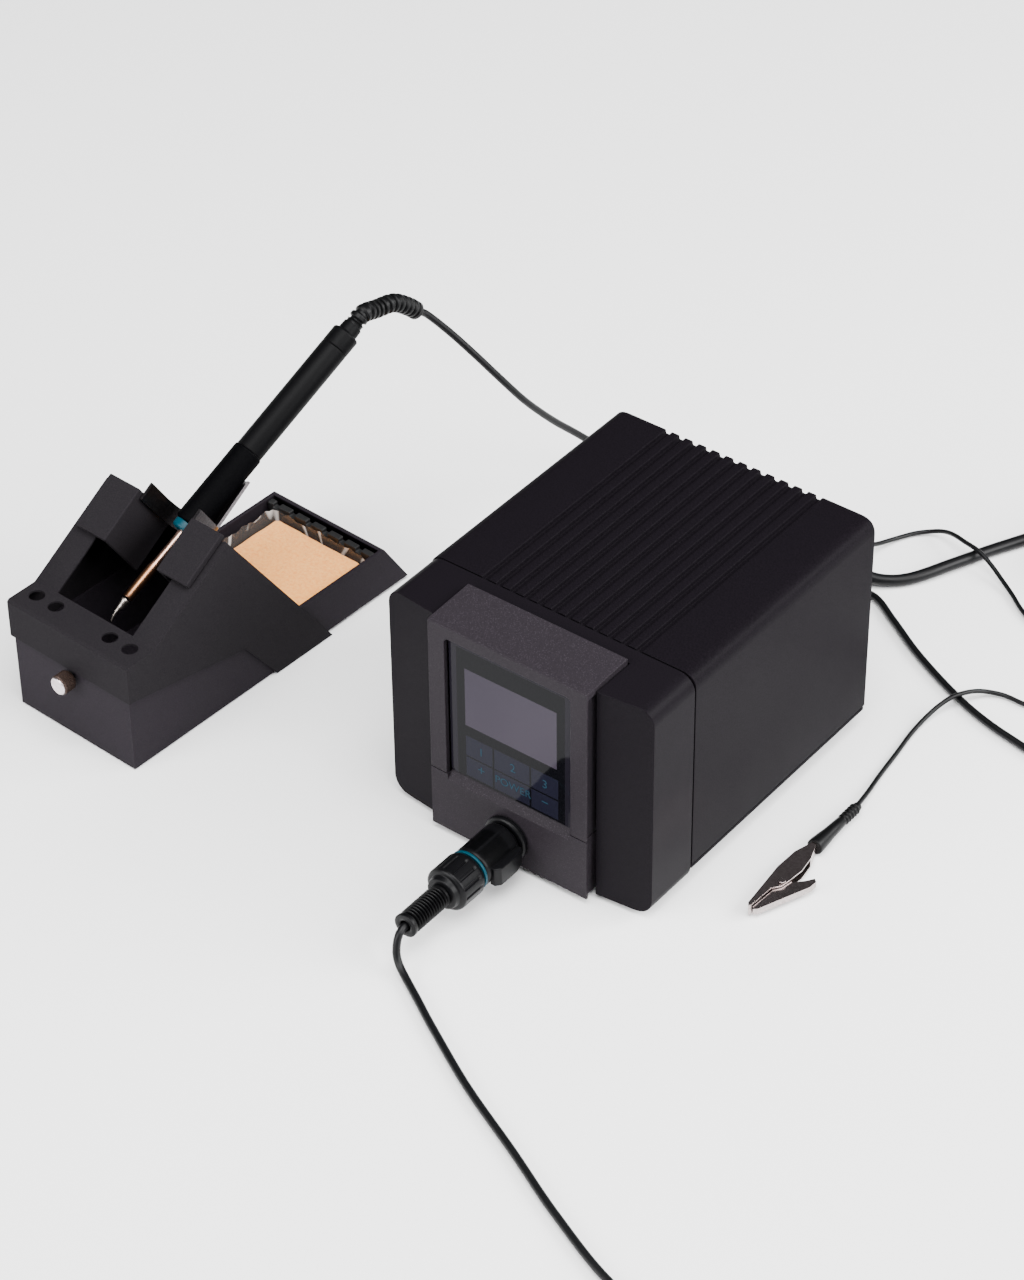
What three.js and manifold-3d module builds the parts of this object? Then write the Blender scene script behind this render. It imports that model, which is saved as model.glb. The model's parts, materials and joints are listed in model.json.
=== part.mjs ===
// Desktop soldering station with iron holder, iron, mains lead, iron cord and ground lead.
// Millimetres, +Z up, table at Z = 0. X runs across the station's front, Y runs to its back.
import * as THREE from 'three';
import { mergeVertices } from 'three/addons/utils/BufferGeometryUtils.js';
import Module from 'manifold-3d';

const wasm = await Module();
wasm.setup();

// ---------------------------------------------------------------- driving dimensions
const STATION = { width: 125, top: 102.8, depth: 145.4, corner: 6.8, seam: 26 };
const SHEET = 1.8;
const GAP = 0.4;
const GROOVE = { count: 12, pitch: 6.57, width: 3.0, depth: 1.7 };
const BEZEL = { bottom: 2.0, wall: 2.4, cheek: 2.6, opening: 76 };
const FASCIA = {
  half: 37.48, front: -7.6, skin: 2.1, back: 17.6, bottom: 2.6, split: 31.3, top: 104.1, rebate: 1.6, edge: 1.0,
};
const WINDOW = { half: 29.7, bottom: 30.0, top: 98.3, corner: 2.0 };
const BASE = { z: 7.6, thick: 1.6 };
// The fittings' flanges seat on this plane, just behind the rear panel.
const SEAT = STATION.depth - 1.8;
const REAR_SHEET = 1.6;
const FEET = { x: STATION.width / 2 - 14.5, front: STATION.seam + 14, back: STATION.depth - 14.4 };
const MAIN_BOARD = {
  left: -4, right: STATION.width / 2 - 6.5, front: STATION.seam + 8, back: STATION.depth - 33.4, inset: 4,
};
const SOCKET = { x: 0, z: 15, flange: 9.8, bore: 7.4 };
const PLUG = { radius: 8.6, nut: 9.35, boot: 4.5, ringAt: -32.2, nutEnd: -46.6, bootEnd: -71.2 };
const HOLDER = {
  x: -185.49, y: -51.07, turn: -0.0577, half: 33.9, sheet: 1.0,
  ledge: 53.2, seam: 35.0, slopeFoot: 14.4, peakB: 57.74, peakZ: 80.6, rearFoot: 113.8,
  footFront: 80.9, stepB: 63.9, stepZ: 23.2,
};
const IRON = {
  start: [-186.53, -15.58, 47.58], end: [-166.62, 102.29, 119.30],
  grip: 6.35, barrel: 5.9, cap: 5.55, collar: 5.4,
};
// Places across are shares of the holder's half width.
const TIP_HOLE = { radius: 3.4, across: [-0.788, -0.466, 0.434, 0.761], along: 8.8 };
const CRADLE = { radius: 14.1, sheet: 1.2, drop: IRON.grip + 5.85, from: 50, to: 58, tongue: 81 };
const REST = {
  inner: CRADLE.radius + GAP, outer: HOLDER.half - 2.6, from: 27.8, to: 53.0, proud: 3.3, wall: 1.5,
  deep: CRADLE.drop + CRADLE.radius + 0.2,
};
const DRAWER = { half: HOLDER.half - HOLDER.sheet - GAP, length: 88, top: 34.0, floor: 0.3, sheet: 1.2 };
const KNOB = { z: 32.0, radius: 4.3, length: 6.8, stand: 1.4, stud: 1.25 };
const TRAY = {
  half: HOLDER.half - HOLDER.sheet - 1.1, from: 90, rimB: 149.0, footB: 163.0, bottom: 1.0, rim: 22.6,
  wall: 1.8,
};
const SPONGE = { a0: -(TRAY.half - TRAY.wall - 8), a1: TRAY.half - TRAY.wall - 2, b0: 98, b1: 140, z0: 3.4, z1: 18 };
const IRON_CORD_D = 3.2;
const MAINS_CORD_D = 5.2;
const GROUND_CORD_D = 2.0;

// ---------------------------------------------------------------- cord routes (centre lines)
const IRON_ROUTE = [
  [-161.3, 141.9, 110.7], [-160.2, 146.0, 107.8], [-154.1, 154.4, 96.0], [-146.6, 161.6, 83.6],
  [-139.6, 169.2, 70.4], [-134.6, 177.2, 58.0], [-131.6, 185.4, 47.8], [-129.0, 193.8, 38.4],
  [-125.6, 203.0, 29.0], [-119.6, 212.4, 18.6], [-109.0, 220.6, 8.8], [-92.0, 226.4, 3.0],
  [-68.0, 227.4, 1.9], [-38.0, 219.4, 1.9], [-14.0, 213.0, 1.9], [6.0, 212.6, 1.9], [21.0, 215.0, 1.9],
  [36.4, 206.5, 1.9], [53.2, 196.0, 1.9], [67.2, 188.5, 1.9], [81.6, 181.7, 1.9],
  [94.2, 176.7, 1.9], [107.0, 173.0, 1.9], [122.9, 169.8, 1.9], [152.0, 163.4, 1.9],
  [186.0, 143.0, 1.9], [212.0, 108.0, 1.9], [238.0, 62.0, 1.9], [262.0, 14.0, 1.9],
  [282.0, -34.0, 1.9], [288.0, -84.0, 1.9], [272.0, -128.0, 1.9], [238.0, -156.0, 1.9],
  [198.0, -164.0, 1.9], [160.0, -157.0, 1.9], [126.0, -143.4, 1.9], [95.1, -128.3, 1.9],
  [62.4, -112.9, 1.9], [33.2, -96.6, 1.9], [19.9, -88.6, 1.9], [9.0, -82.2, 2.0],
  [3.8, -79.6, 3.8], [1.4, -78.2, 7.0], [0.5, -76.6, 10.6], [0.1, -74.8, 13.6], [0.0, -72.4, 14.9],
];
const MAINS_ROUTE = [
  [-2.0, 193.5, 26.0], [-1.9, 199.3, 25.6], [-1.2, 205.0, 23.7], [0.1, 210.0, 20.6], [2.1, 213.9, 16.7],
  [4.9, 216.8, 12.4], [8.5, 218.9, 8.4], [12.9, 221.1, 5.4], [17.6, 223.9, 3.5], [23.4, 228.4, 2.8],
  [28.0, 233.8, 2.9], [31.5, 239.6, 3.3], [34.4, 246.0, 3.4], [37.2, 253.0, 3.2], [40.2, 260.4, 2.9],
  [43.6, 268.7, 2.8], [51.5, 284.7, 2.8], [59.0, 300.0, 2.8], [66.0, 315.0, 2.8],
];
const MAINS_TAIL = [
  [147.0, 297.0, 2.8], [147.0, 290.4, 2.8], [149.5, 281.0, 3.6], [156.6, 272.6, 6.6],
  [167.2, 268.3, 11.6], [176.0, 268.0, 13.0],
];
const GROUND_ROUTE = [
  [38.0, 172.6, 30.0], [37.6, 178.0, 29.8], [35.0, 187.6, 28.6], [29.0, 198.0, 26.2],
  [20.8, 207.6, 23.4], [12.6, 216.4, 20.0], [6.4, 224.8, 15.6], [3.6, 233.4, 9.6],
  [4.2, 242.4, 4.6], [6.6, 252.9, 2.0], [10.8, 261.8, 1.4], [16.2, 266.4, 2.2],
  [22.2, 267.0, 4.6], [28.4, 265.2, 6.8], [35.4, 262.9, 7.6], [43.1, 261.3, 7.4],
  [50.4, 259.3, 5.2], [57.6, 256.2, 3.0], [66.6, 251.1, 1.6], [77.4, 243.6, 1.3],
  [94.0, 236.0, 1.3], [112.0, 231.6, 1.3], [128.0, 230.8, 1.3], [140.0, 230.8, 1.3],
];
const GROUND_TAIL = [
  [139.0, 197.0, 1.3], [131.0, 196.2, 1.3], [121.0, 194.6, 1.3], [108.4, 193.4, 1.3],
  [99.8, 193.2, 1.4], [94.0, 190.6, 2.2], [90.4, 186.4, 3.8], [87.8, 181.0, 5.2],
  [85.2, 175.2, 5.4], [82.9, 168.2, 3.8], [81.6, 160.0, 1.8], [82.1, 149.5, 1.3],
  [84.0, 136.6, 1.3], [86.0, 122.0, 1.4], [88.4, 110.0, 2.4], [90.2, 99.6, 3.4],
];
const MAINS_COIL = { centre: [105.0, 300.0], radius: 28.6, turns: 6.5 };
const GROUND_COIL = { centre: [141.0, 214.0], radius: 12.0, turns: 6.5 };
const COIL_FILL = 0.62;

// ---------------------------------------------------------------- materials
function material(colour, roughness, metalness = 0) {
  return new THREE.MeshStandardMaterial({ color: colour, roughness, metalness });
}
const PAINT = material(0x2e2b31, 0.55);
const FASCIA_PAINT = material(0x47414a, 0.5);
const PLASTIC = material(0x141316, 0.5);
const RUBBER = material(0x101012, 0.85);
const TEAL = material(0x005a6e, 0.45);
const GLASS = material(0x07080c, 0.08);
const STEEL = material(0x8d8a8a, 0.35, 1);
const NICKEL = material(0xb8afae, 0.3, 1);
const COPPER = material(0xb5693c, 0.4, 1);
const BRONZE = material(0xb08060, 0.3, 1);
const BOARD = material(0x1c5a3a, 0.6);
const SPONGE_FOAM = material(0xf5b87a, 0.95);
const LCD_GREY = material(0x5d5866, 0.3);

// ---------------------------------------------------------------- geometry helpers
const X = new THREE.Vector3(1, 0, 0);
const Y = new THREE.Vector3(0, 1, 0);
const Z = new THREE.Vector3(0, 0, 1);

function outline(points) {
  return new THREE.Shape(points.map(([u, v]) => new THREE.Vector2(u, v)));
}

function rect(u0, v0, u1, v1) {
  return outline([[u0, v0], [u1, v0], [u1, v1], [u0, v1]]);
}

function arc(cu, cv, radius, from, to, steps) {
  const points = [];
  for (let i = 0; i <= steps; i += 1) {
    const angle = from + ((to - from) * i) / steps;
    points.push([cu + radius * Math.cos(angle), cv + radius * Math.sin(angle)]);
  }
  return points;
}

function circle(cu, cv, radius, steps = 24) {
  return outline(arc(cu, cv, radius, 0, 2 * Math.PI, steps).slice(0, -1));
}

function roundRect(u0, v0, u1, v1, radius, steps = 5) {
  const quarter = Math.PI / 2;
  return outline([
    ...arc(u1 - radius, v0 + radius, radius, -quarter, 0, steps),
    ...arc(u1 - radius, v1 - radius, radius, 0, quarter, steps),
    ...arc(u0 + radius, v1 - radius, radius, quarter, 2 * quarter, steps),
    ...arc(u0 + radius, v0 + radius, radius, 2 * quarter, 3 * quarter, steps),
  ]);
}

function extrude(shape, depth) {
  return new THREE.ExtrudeGeometry(shape, { depth, bevelEnabled: false, steps: 1 });
}

function placed(geometry, xAxis, yAxis, zAxis, origin) {
  const matrix = new THREE.Matrix4().makeBasis(xAxis, yAxis, zAxis);
  matrix.setPosition(...origin);
  return geometry.applyMatrix4(matrix);
}

// A shape drawn in (x, y), from z0 up to z1.
function prismZ(shape, z0, z1) {
  return extrude(shape, z1 - z0).translate(0, 0, z0);
}

// A shape drawn in (x, z), from y0 back to y1.
function prismY(shape, y0, y1) {
  return placed(extrude(shape, y1 - y0), X, Z, Y.clone().negate(), [0, y1, 0]);
}

// A shape drawn in (y, z), from x0 across to x1.
function prismX(shape, x0, x1) {
  return placed(extrude(shape, x1 - x0), Y, Z, X, [x0, 0, 0]);
}

function block(x0, x1, y0, y1, z0, z1) {
  return prismZ(rect(x0, y0, x1, y1), z0, z1);
}

// A turned body: profile of [radius, distance along the axis].
function turned(profile, origin, axis, segments = 24) {
  const points = profile.map(([r, t]) => new THREE.Vector2(r, t));
  const geometry = new THREE.LatheGeometry(points, segments);
  geometry.applyQuaternion(new THREE.Quaternion().setFromUnitVectors(Y, axis));
  return geometry.translate(...origin);
}

function rod(radius, from, to, origin, axis, segments = 24) {
  return turned([[0, from], [radius, from], [radius, to], [0, to]], origin, axis, segments);
}

function tube(route, diameter, steps, sides = 8) {
  const path = new THREE.CatmullRomCurve3(route.map((p) => new THREE.Vector3(...p)));
  const options = { steps, extrudePath: path, bevelEnabled: false };
  return new THREE.ExtrudeGeometry(circle(0, 0, diameter / 2, sides), options);
}

function solid(geometry) {
  const loose = geometry.index ? geometry.toNonIndexed() : geometry;
  const bare = new THREE.BufferGeometry();
  bare.setAttribute('position', loose.getAttribute('position').clone());
  const merged = mergeVertices(bare, 1e-4);
  const positions = merged.getAttribute('position').array;
  const index = Array.from(merged.index.array);
  const triangles = [];
  for (let i = 0; i < index.length; i += 3) {
    const [a, b, c] = index.slice(i, i + 3);
    if (a !== b && b !== c && a !== c) triangles.push(a, b, c);
  }
  if (volume(positions, triangles) < 0) triangles.reverse();
  return new wasm.Manifold(new wasm.Mesh({
    numProp: 3,
    vertProperties: new Float32Array(positions),
    triVerts: new Uint32Array(triangles),
  }));
}

function volume(positions, triangles) {
  const corner = (i) => new THREE.Vector3().fromArray(positions, 3 * triangles[i]);
  let sum = 0;
  for (let i = 0; i < triangles.length; i += 3) {
    sum += corner(i).dot(corner(i + 1).cross(corner(i + 2)));
  }
  return sum / 6;
}

function union(geometries) {
  return geometries.map(solid).reduce((whole, next) => whole.add(next));
}

function cut(body, geometries) {
  return geometries.reduce((rest, tool) => rest.subtract(solid(tool)), body);
}

function surface(body) {
  const mesh = body.getMesh();
  const geometry = new THREE.BufferGeometry();
  geometry.setAttribute('position', new THREE.BufferAttribute(new Float32Array(mesh.vertProperties), 3));
  geometry.setIndex(new THREE.BufferAttribute(new Uint32Array(mesh.triVerts), 1));
  geometry.computeVertexNormals();
  return geometry;
}

const parts = new THREE.Group();
parts.name = 'soldering_station';

function add(name, body, finish) {
  const whole = body instanceof THREE.BufferGeometry ? solid(body) : body;
  const mesh = new THREE.Mesh(surface(whole), finish);
  mesh.name = name;
  parts.add(mesh);
  return mesh;
}

// ---------------------------------------------------------------- station housing
function coverSection() {
  const half = STATION.width / 2;
  const { top, corner } = STATION;
  const low = BASE.z + BASE.thick + 0.6;
  const path = [[-half, low], ...arc(-half + corner, top - corner, corner, Math.PI, Math.PI / 2, 6)];
  for (let i = 0; i < GROOVE.count; i += 1) {
    const centre = (i - (GROOVE.count - 1) / 2) * GROOVE.pitch;
    const left = centre - GROOVE.width / 2;
    const right = centre + GROOVE.width / 2;
    const floor = top - GROOVE.depth;
    path.push([left, top], [left + 0.3, floor + 0.4], [left + 0.8, floor]);
    path.push([right - 0.8, floor], [right - 0.3, floor + 0.4], [right, top]);
  }
  path.push(...arc(half - corner, top - corner, corner, Math.PI / 2, 0, 6), [half, low]);
  const inner = half - SHEET;
  const roof = top - GROOVE.depth - SHEET;
  path.push([inner, low], ...arc(inner - 4, roof - 4, 4, 0, Math.PI / 2, 3));
  path.push(...arc(-inner + 4, roof - 4, 4, Math.PI / 2, Math.PI, 3), [-inner, low]);
  return outline(path);
}

function coverShell() {
  return prismY(coverSection(), STATION.seam + 0.3, STATION.depth);
}

function frontBezel() {
  const half = STATION.width / 2;
  const { top, corner, seam } = STATION;
  const edge = BEZEL.opening / 2;
  const front = roundRect(-half, BEZEL.bottom, half, top, corner + 0.2, 6);
  const cheeks = outline([
    [-half - 1, 0.1], [-edge, -BEZEL.cheek], [edge, -BEZEL.cheek], [half + 1, 0.1],
    [half + 1, seam - 0.3], [-half - 1, seam - 0.3],
  ]);
  const body = solid(prismY(front, -6, seam)).intersect(solid(prismZ(cheeks, 0, top + 5)));
  const w = BEZEL.wall;
  const hollow = roundRect(-half + w, BEZEL.bottom + w, half - w, top - w, corner - w, 4);
  return cut(body, [
    prismY(hollow, 2.2, seam + 2),
    block(-edge, edge, -8, FASCIA.back + GAP, 0, top + 4),
  ]);
}

// The fascia's side walls stand in from its front edges and leave a shadow gap beside the cheeks.
function fasciaRebates() {
  const { half, front, back, rebate, edge, top } = FASCIA;
  return [-1, 1].map((sign) => {
    const wall = sign * (half - rebate);
    const out = sign * (half + 1);
    return block(Math.min(wall, out), Math.max(wall, out), front + edge, back + 1, -1, top - 3.2);
  });
}

function upperFascia() {
  const { half, front, back, split, top, skin, rebate } = FASCIA;
  const side = outline([
    [front, split + 0.15], [front, top - 0.5], [front + 0.5, top], [back, top + 0.9], [back, split + 0.15],
  ]);
  const inside = outline([
    [front + skin, split - 1], [front + skin, top - 2.2], [back + 1, top - 1.4], [back + 1, split - 1],
  ]);
  const opening = roundRect(-WINDOW.half, WINDOW.bottom - 9, WINDOW.half, WINDOW.top, WINDOW.corner, 3);
  return cut(solid(prismX(side, -half, half)), [
    prismX(inside, -half + rebate + 2.2, half - rebate - 2.2),
    prismY(opening, front - 1, front + skin + 1),
    ...fasciaRebates(),
  ]);
}

function lowerFascia() {
  const { half, front, back, split, bottom, skin, rebate } = FASCIA;
  const lip = outline([
    [front, bottom], [front, 28.4], [front + skin + 0.6, split + 0.7], [front + skin + 1.6, split + 0.7],
    [front + skin + 1.6, bottom + 2.2], [back, bottom + 2.2], [back, bottom],
  ]);
  const plate = block(-half, half, front, front + skin, bottom, split - 0.15);
  const keep = cut(solid(plate), [
    block(-WINDOW.half + GAP, WINDOW.half - GAP, front - 1, front + skin + 1, 26, split + 1),
  ]);
  const middle = solid(prismX(lip, -WINDOW.half + GAP, WINDOW.half - GAP));
  const ribs = [-1, 1].map((sign) => {
    const x = sign * (half - rebate - 1.1);
    return solid(block(x - 1.1, x + 1.1, front, back, bottom, split - 0.15));
  });
  const whole = keep.add(middle).add(ribs[0]).add(ribs[1]);
  const bore = rod(SOCKET.bore + 0.6, -20, 20, [SOCKET.x, 0, SOCKET.z], Y);
  return cut(whole, [bore, ...fasciaRebates()]);
}

function displayLens() {
  const edge = WINDOW.half - 0.5;
  const shape = roundRect(-edge, FASCIA.split + 1.1, edge, WINDOW.top - 0.4, 1.6, 3);
  return prismY(shape, -5.4, -3.6);
}

function lcdModule() {
  return union([block(-24.5, 24.5, -3.2, 1.6, 55, 89), block(-20, 20, 1, 3.4, 57, 60)]);
}

function keyBoard() {
  return block(-27, 27, -3.2, -1.8, 33.4, 53.6);
}

function controlBoard() {
  const chips = [[-18, 60], [4, 64], [20, 44], [-10, 40]];
  const bodies = chips.map(([x, z]) => block(x - 5, x + 5, 9.2, 11.4, z - 4, z + 4));
  return union([block(-33, 33, 8, 9.6, 28, 96), ...bodies]);
}

function basePlate() {
  const half = STATION.width / 2 - 0.2;
  const { z, thick } = BASE;
  const { left, right, front, back, inset } = MAIN_BOARD;
  const studs = [left + inset, right - inset].flatMap((x) => [[x, front + inset], [x, back - inset]]);
  const pieces = [block(-half, half, STATION.seam + 0.4, STATION.depth - 0.4, z, z + thick)];
  for (const [x, y] of studs) pieces.push(rod(2.6, z, z + 7, [x, y, 0], Z, 12));
  return union(pieces);
}

function foot(x, y) {
  return turned([[0, 0], [6, 0], [6.6, 1], [6.6, BASE.z - 0.4], [0, BASE.z - 0.4]], [x, y, 0], Z, 20);
}

const INLET = { x: -2, z: 26, width: 28, height: 20 };
const SWITCH = { x: -38, z: 34, width: 16, height: 22 };
const JACK = { x: 38, z: 30, radius: 4.2 };
const FUSE = { x: 38, z: 66, radius: 6.4 };

function rearPanel() {
  const half = STATION.width / 2 - SHEET - 0.4;
  const roof = STATION.top - GROOVE.depth - SHEET - 0.4;
  const plate = roundRect(-half, BASE.z + BASE.thick + 0.4, half, roof, 3.8, 3);
  const window = ({ x, z, width, height }) => rect(
    x - width / 2 - 0.3, z - height / 2 - 0.3, x + width / 2 + 0.3, z + height / 2 + 0.3,
  );
  const from = SEAT - 5;
  const to = SEAT + 3;
  const slots = [];
  for (let i = 0; i < 9; i += 1) {
    slots.push(prismY(roundRect(-50 + i * 7, 74, -46.6 + i * 7, 92, 1.6, 2), from, to));
  }
  return cut(solid(prismY(plate, SEAT - GAP - REAR_SHEET, SEAT - GAP)), [
    prismY(window(INLET), from, to),
    prismY(window(SWITCH), from, to),
    rod(JACK.radius + 0.4, from, to, [JACK.x, 0, JACK.z], Y),
    rod(FUSE.radius + 0.4, from, to, [FUSE.x, 0, FUSE.z], Y),
    ...slots,
  ]);
}

function mainsInlet() {
  const { x, z, width, height } = INLET;
  const shell = prismY(rect(x - width / 2, z - height / 2, x + width / 2, z + height / 2), SEAT - 25.6, SEAT);
  const flange = prismY(roundRect(x - 18, z - 12.4, x + 18, z + 12.4, 3, 3), SEAT, SEAT + 2);
  const socket = prismY(roundRect(x - 12.4, z - 8.4, x + 12.4, z + 8.4, 2, 2), SEAT - 17.6, SEAT + 4);
  const body = cut(union([shell, flange]), [socket]);
  const pins = [[-7, -2], [0, 3], [7, -2]];
  return pins.reduce((whole, [dx, dz]) => (
    whole.add(solid(block(x + dx - 1, x + dx + 1, SEAT - 21.6, SEAT - 2.6, z + dz - 2, z + dz + 2)))
  ), body);
}

function switchFrame() {
  const { x, z, width, height } = SWITCH;
  const body = prismY(rect(x - width / 2, z - height / 2, x + width / 2, z + height / 2), SEAT - 19.6, SEAT);
  const flange = prismY(roundRect(x - 10, z - 13, x + 10, z + 13, 2, 2), SEAT, SEAT + 1.8);
  const well = prismY(rect(x - 6.4, z - 9.6, x + 6.4, z + 9.6), SEAT - 12.6, SEAT + 4);
  const pivots = rod(1.1, -8, 8, [x, SEAT - 4.1, z], X, 12);
  return cut(union([body, flange]), [well]).subtract(solid(pivots));
}

function rocker() {
  const { x, z } = SWITCH;
  const face = outline([
    [SEAT - 10.1, z - 3], [SEAT - 5.6, z - 8.8], [SEAT + 2, z - 8.6], [SEAT, z], [SEAT + 3.3, z + 8.2],
    [SEAT - 4.2, z + 8.9], [SEAT - 10.1, z + 3],
  ]);
  return union([prismX(face, x - 6, x + 6), rod(0.8, -7.6, 7.6, [x, SEAT - 4.1, z], X, 12)]);
}

function fuseCap() {
  const at = [FUSE.x, 0, FUSE.z];
  const body = union([
    rod(FUSE.radius, SEAT - 31.6, SEAT, at, Y),
    turned([[0, SEAT], [8.4, SEAT], [8.4, SEAT + 2.4], [6.6, SEAT + 5.8], [0, SEAT + 5.8]], at, Y),
  ]);
  return cut(body, [block(FUSE.x - 5, FUSE.x + 5, SEAT + 4.6, SEAT + 8, FUSE.z - 0.7, FUSE.z + 0.7)]);
}

function groundJack() {
  const at = [JACK.x, 0, JACK.z];
  return turned([
    [2.3, SEAT - 13.6], [4.2, SEAT - 13.6], [4.2, SEAT], [6.2, SEAT], [6.2, SEAT + 4], [2.3, SEAT + 4],
    [2.3, SEAT - 13.6],
  ], at, Y);
}

const TRANSFORMER_Y = 88;

function transformerCore() {
  const y = TRANSFORMER_Y;
  const core = block(-54, -8, y - 14, y + 14, 12, 62);
  const windows = [[-47, -38], [-24, -15]];
  return cut(solid(core), windows.map(([a, b]) => block(a, b, y - 20, y + 20, 21, 53)));
}

function transformerWinding() {
  const y = TRANSFORMER_Y;
  const outer = block(-46.4, -15.6, y - 22.5, y + 22.5, 21.6, 52.4);
  return cut(solid(outer), [block(-38.6, -23.4, y - 14.6, y + 14.6, 15, 60)]);
}

function mainBoard() {
  const z = BASE.z + BASE.thick + 6;
  const { left, right, front, back, inset } = MAIN_BOARD;
  const x0 = left + inset;
  const cans = [[x0 + 10, 6, 22], [x0 + 26, 6, 22], [x0 + 42, 5, 18]];
  const pieces = [block(left, right, front, back, z, z + 1.6)];
  for (const [x, radius, height] of cans) pieces.push(rod(radius, z, z + height, [x, front + 12, 0], Z, 20));
  pieces.push(block(x0, x0 + 16, front + 28, front + 44, z, z + 14));
  pieces.push(block(x0, x0 + 14, back - 24, back - 12, z, z + 10));
  return union(pieces);
}

function heatsink() {
  const pieces = [block(22, 25, 64, 104, 17.2, 66)];
  for (let i = 0; i < 7; i += 1) pieces.push(block(24, 50, 65 + i * 6.2, 66.8 + i * 6.2, 17.2, 66));
  return union(pieces);
}

// ---------------------------------------------------------------- iron socket and its plug
function ironSocket() {
  const at = [SOCKET.x, 0, SOCKET.z];
  const front = FASCIA.front;
  return turned([
    [0, 16], [SOCKET.bore, 16], [SOCKET.bore, front - 0.3], [SOCKET.flange, front - 0.3],
    [SOCKET.flange, front - 2.2], [9.0, front - 2.8], [6.2, front - 2.8], [6.2, 6], [0, 6],
  ], at, Y, 28);
}

function plugBarrel() {
  const at = [SOCKET.x, 0, SOCKET.z];
  const from = FASCIA.front - 3.2;
  const to = PLUG.ringAt + 1.0;
  const body = union([
    turned([[0, to], [PLUG.radius - 0.8, to], [PLUG.radius, to + 0.8], [PLUG.radius, from - 1.4],
      [PLUG.radius - 0.9, from], [0, from]], at, Y, 28),
    rod(5.7, from - 0.2, 4.4, at, Y, 20),
  ]);
  return cut(body, [block(6.6, 12, -29.5, -11.2, 8.6, 18.4)]);
}

function plugRing() {
  const at = [SOCKET.x, 0, SOCKET.z];
  return rod(PLUG.radius + 0.15, PLUG.ringAt - 0.45, PLUG.ringAt + 0.65, at, Y, 28);
}

function plugNut() {
  const at = [SOCKET.x, 0, SOCKET.z];
  const from = PLUG.ringAt - 0.8;
  const to = PLUG.nutEnd;
  const body = turned([
    [0, to - 2.6], [6.6, to - 2.6], [7.2, to], [PLUG.nut - 1.4, to], [PLUG.nut, to + 1.6],
    [PLUG.nut, from - 3.4], [PLUG.radius, from], [0, from],
  ], at, Y, 28);
  const slots = [];
  for (let i = 0; i < 14; i += 1) {
    const angle = (i / 14) * 2 * Math.PI;
    const bar = block(-0.45, 0.45, to + 1.2, from - 4.2, PLUG.nut - 0.7, PLUG.nut + 2);
    slots.push(bar.applyMatrix4(new THREE.Matrix4().makeRotationY(angle)).translate(...at));
  }
  return cut(solid(body), slots);
}

function plugLatch() {
  const side = outline([
    [7.3, -28.6], [9.6, -28.6], [11.4, -26.4], [11.4, -17], [10.2, -12], [7.3, -12],
  ]);
  return prismZ(side, 9.2, 17.8);
}

function plugBoot() {
  const at = [SOCKET.x, 0, SOCKET.z];
  const from = PLUG.nutEnd - 3.0;
  const profile = [[0, from], [PLUG.boot + 0.3, from]];
  const ribs = 9;
  const pitch = (from - PLUG.bootEnd - 3) / ribs;
  for (let i = 0; i < ribs; i += 1) {
    const t = from - 0.8 - i * pitch;
    profile.push([PLUG.boot + 0.3, t], [PLUG.boot - 0.5, t - 0.4 * pitch]);
    profile.push([PLUG.boot - 0.5, t - 0.6 * pitch]);
  }
  profile.push([PLUG.boot + 0.4, PLUG.bootEnd + 1.6], [PLUG.boot, PLUG.bootEnd], [0, PLUG.bootEnd]);
  return turned(profile, at, Y, 20);
}

// ---------------------------------------------------------------- holder (own frame: a, b, z)
const holderFrame = new THREE.Matrix4()
  .makeRotationZ(HOLDER.turn)
  .setPosition(HOLDER.x, HOLDER.y, 0);
const slope = new THREE.Vector2(HOLDER.peakB - HOLDER.slopeFoot, HOLDER.peakZ - HOLDER.ledge);
const slopeLength = slope.length();
slope.normalize();
const slopeFrame = new THREE.Matrix4().makeBasis(
  X, new THREE.Vector3(0, slope.x, slope.y), new THREE.Vector3(0, -slope.y, slope.x),
).setPosition(0, HOLDER.slopeFoot, HOLDER.ledge);

// Boxes on the sloping face: a across, s up the slope, n out of the face.
function onSlope(geometry) {
  return geometry.applyMatrix4(slopeFrame);
}

function inHolder(body) {
  const whole = body instanceof THREE.BufferGeometry ? solid(body) : body;
  const e = holderFrame.elements;
  return whole.transform(Array.from(e));
}

function holderShell() {
  const h = HOLDER;
  const t = h.sheet;
  const rear = (h.rearFoot - h.peakB) / h.peakZ;
  const mouth = 27;
  const side = outline([
    [-1, h.seam], [-1, h.ledge - 1], [0, h.ledge], [h.slopeFoot, h.ledge], [h.peakB, h.peakZ],
    [h.rearFoot, 0], [h.footFront, 0], [h.stepB, h.stepZ], [1.5, h.seam],
  ]);
  const inside = outline([
    [-1 + t, -5], [-1 + t, h.ledge - t], [h.slopeFoot + 0.3, h.ledge - t],
    [h.peakB - 0.1, h.peakZ - t - 0.2], [h.rearFoot - rear * mouth - 1.25, mouth], [200, mouth], [200, -5],
  ]);
  const half = h.half - t;
  const body = cut(solid(prismX(side, -h.half, h.half)), [
    prismX(inside, -half, half),
    onSlope(block(-21.3, 21.3, 0.7, 30, -6, 3)),
    onSlope(block(-REST.inner - 1.8, REST.inner + 1.8, 26, 64, -REST.deep - 2, 8)),
  ]);
  const holes = TIP_HOLE.across.map((share) => (
    rod(TIP_HOLE.radius, 40, 60, [share * h.half, TIP_HOLE.along, 0], Z)
  ));
  return inHolder(cut(body, holes));
}

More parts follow.
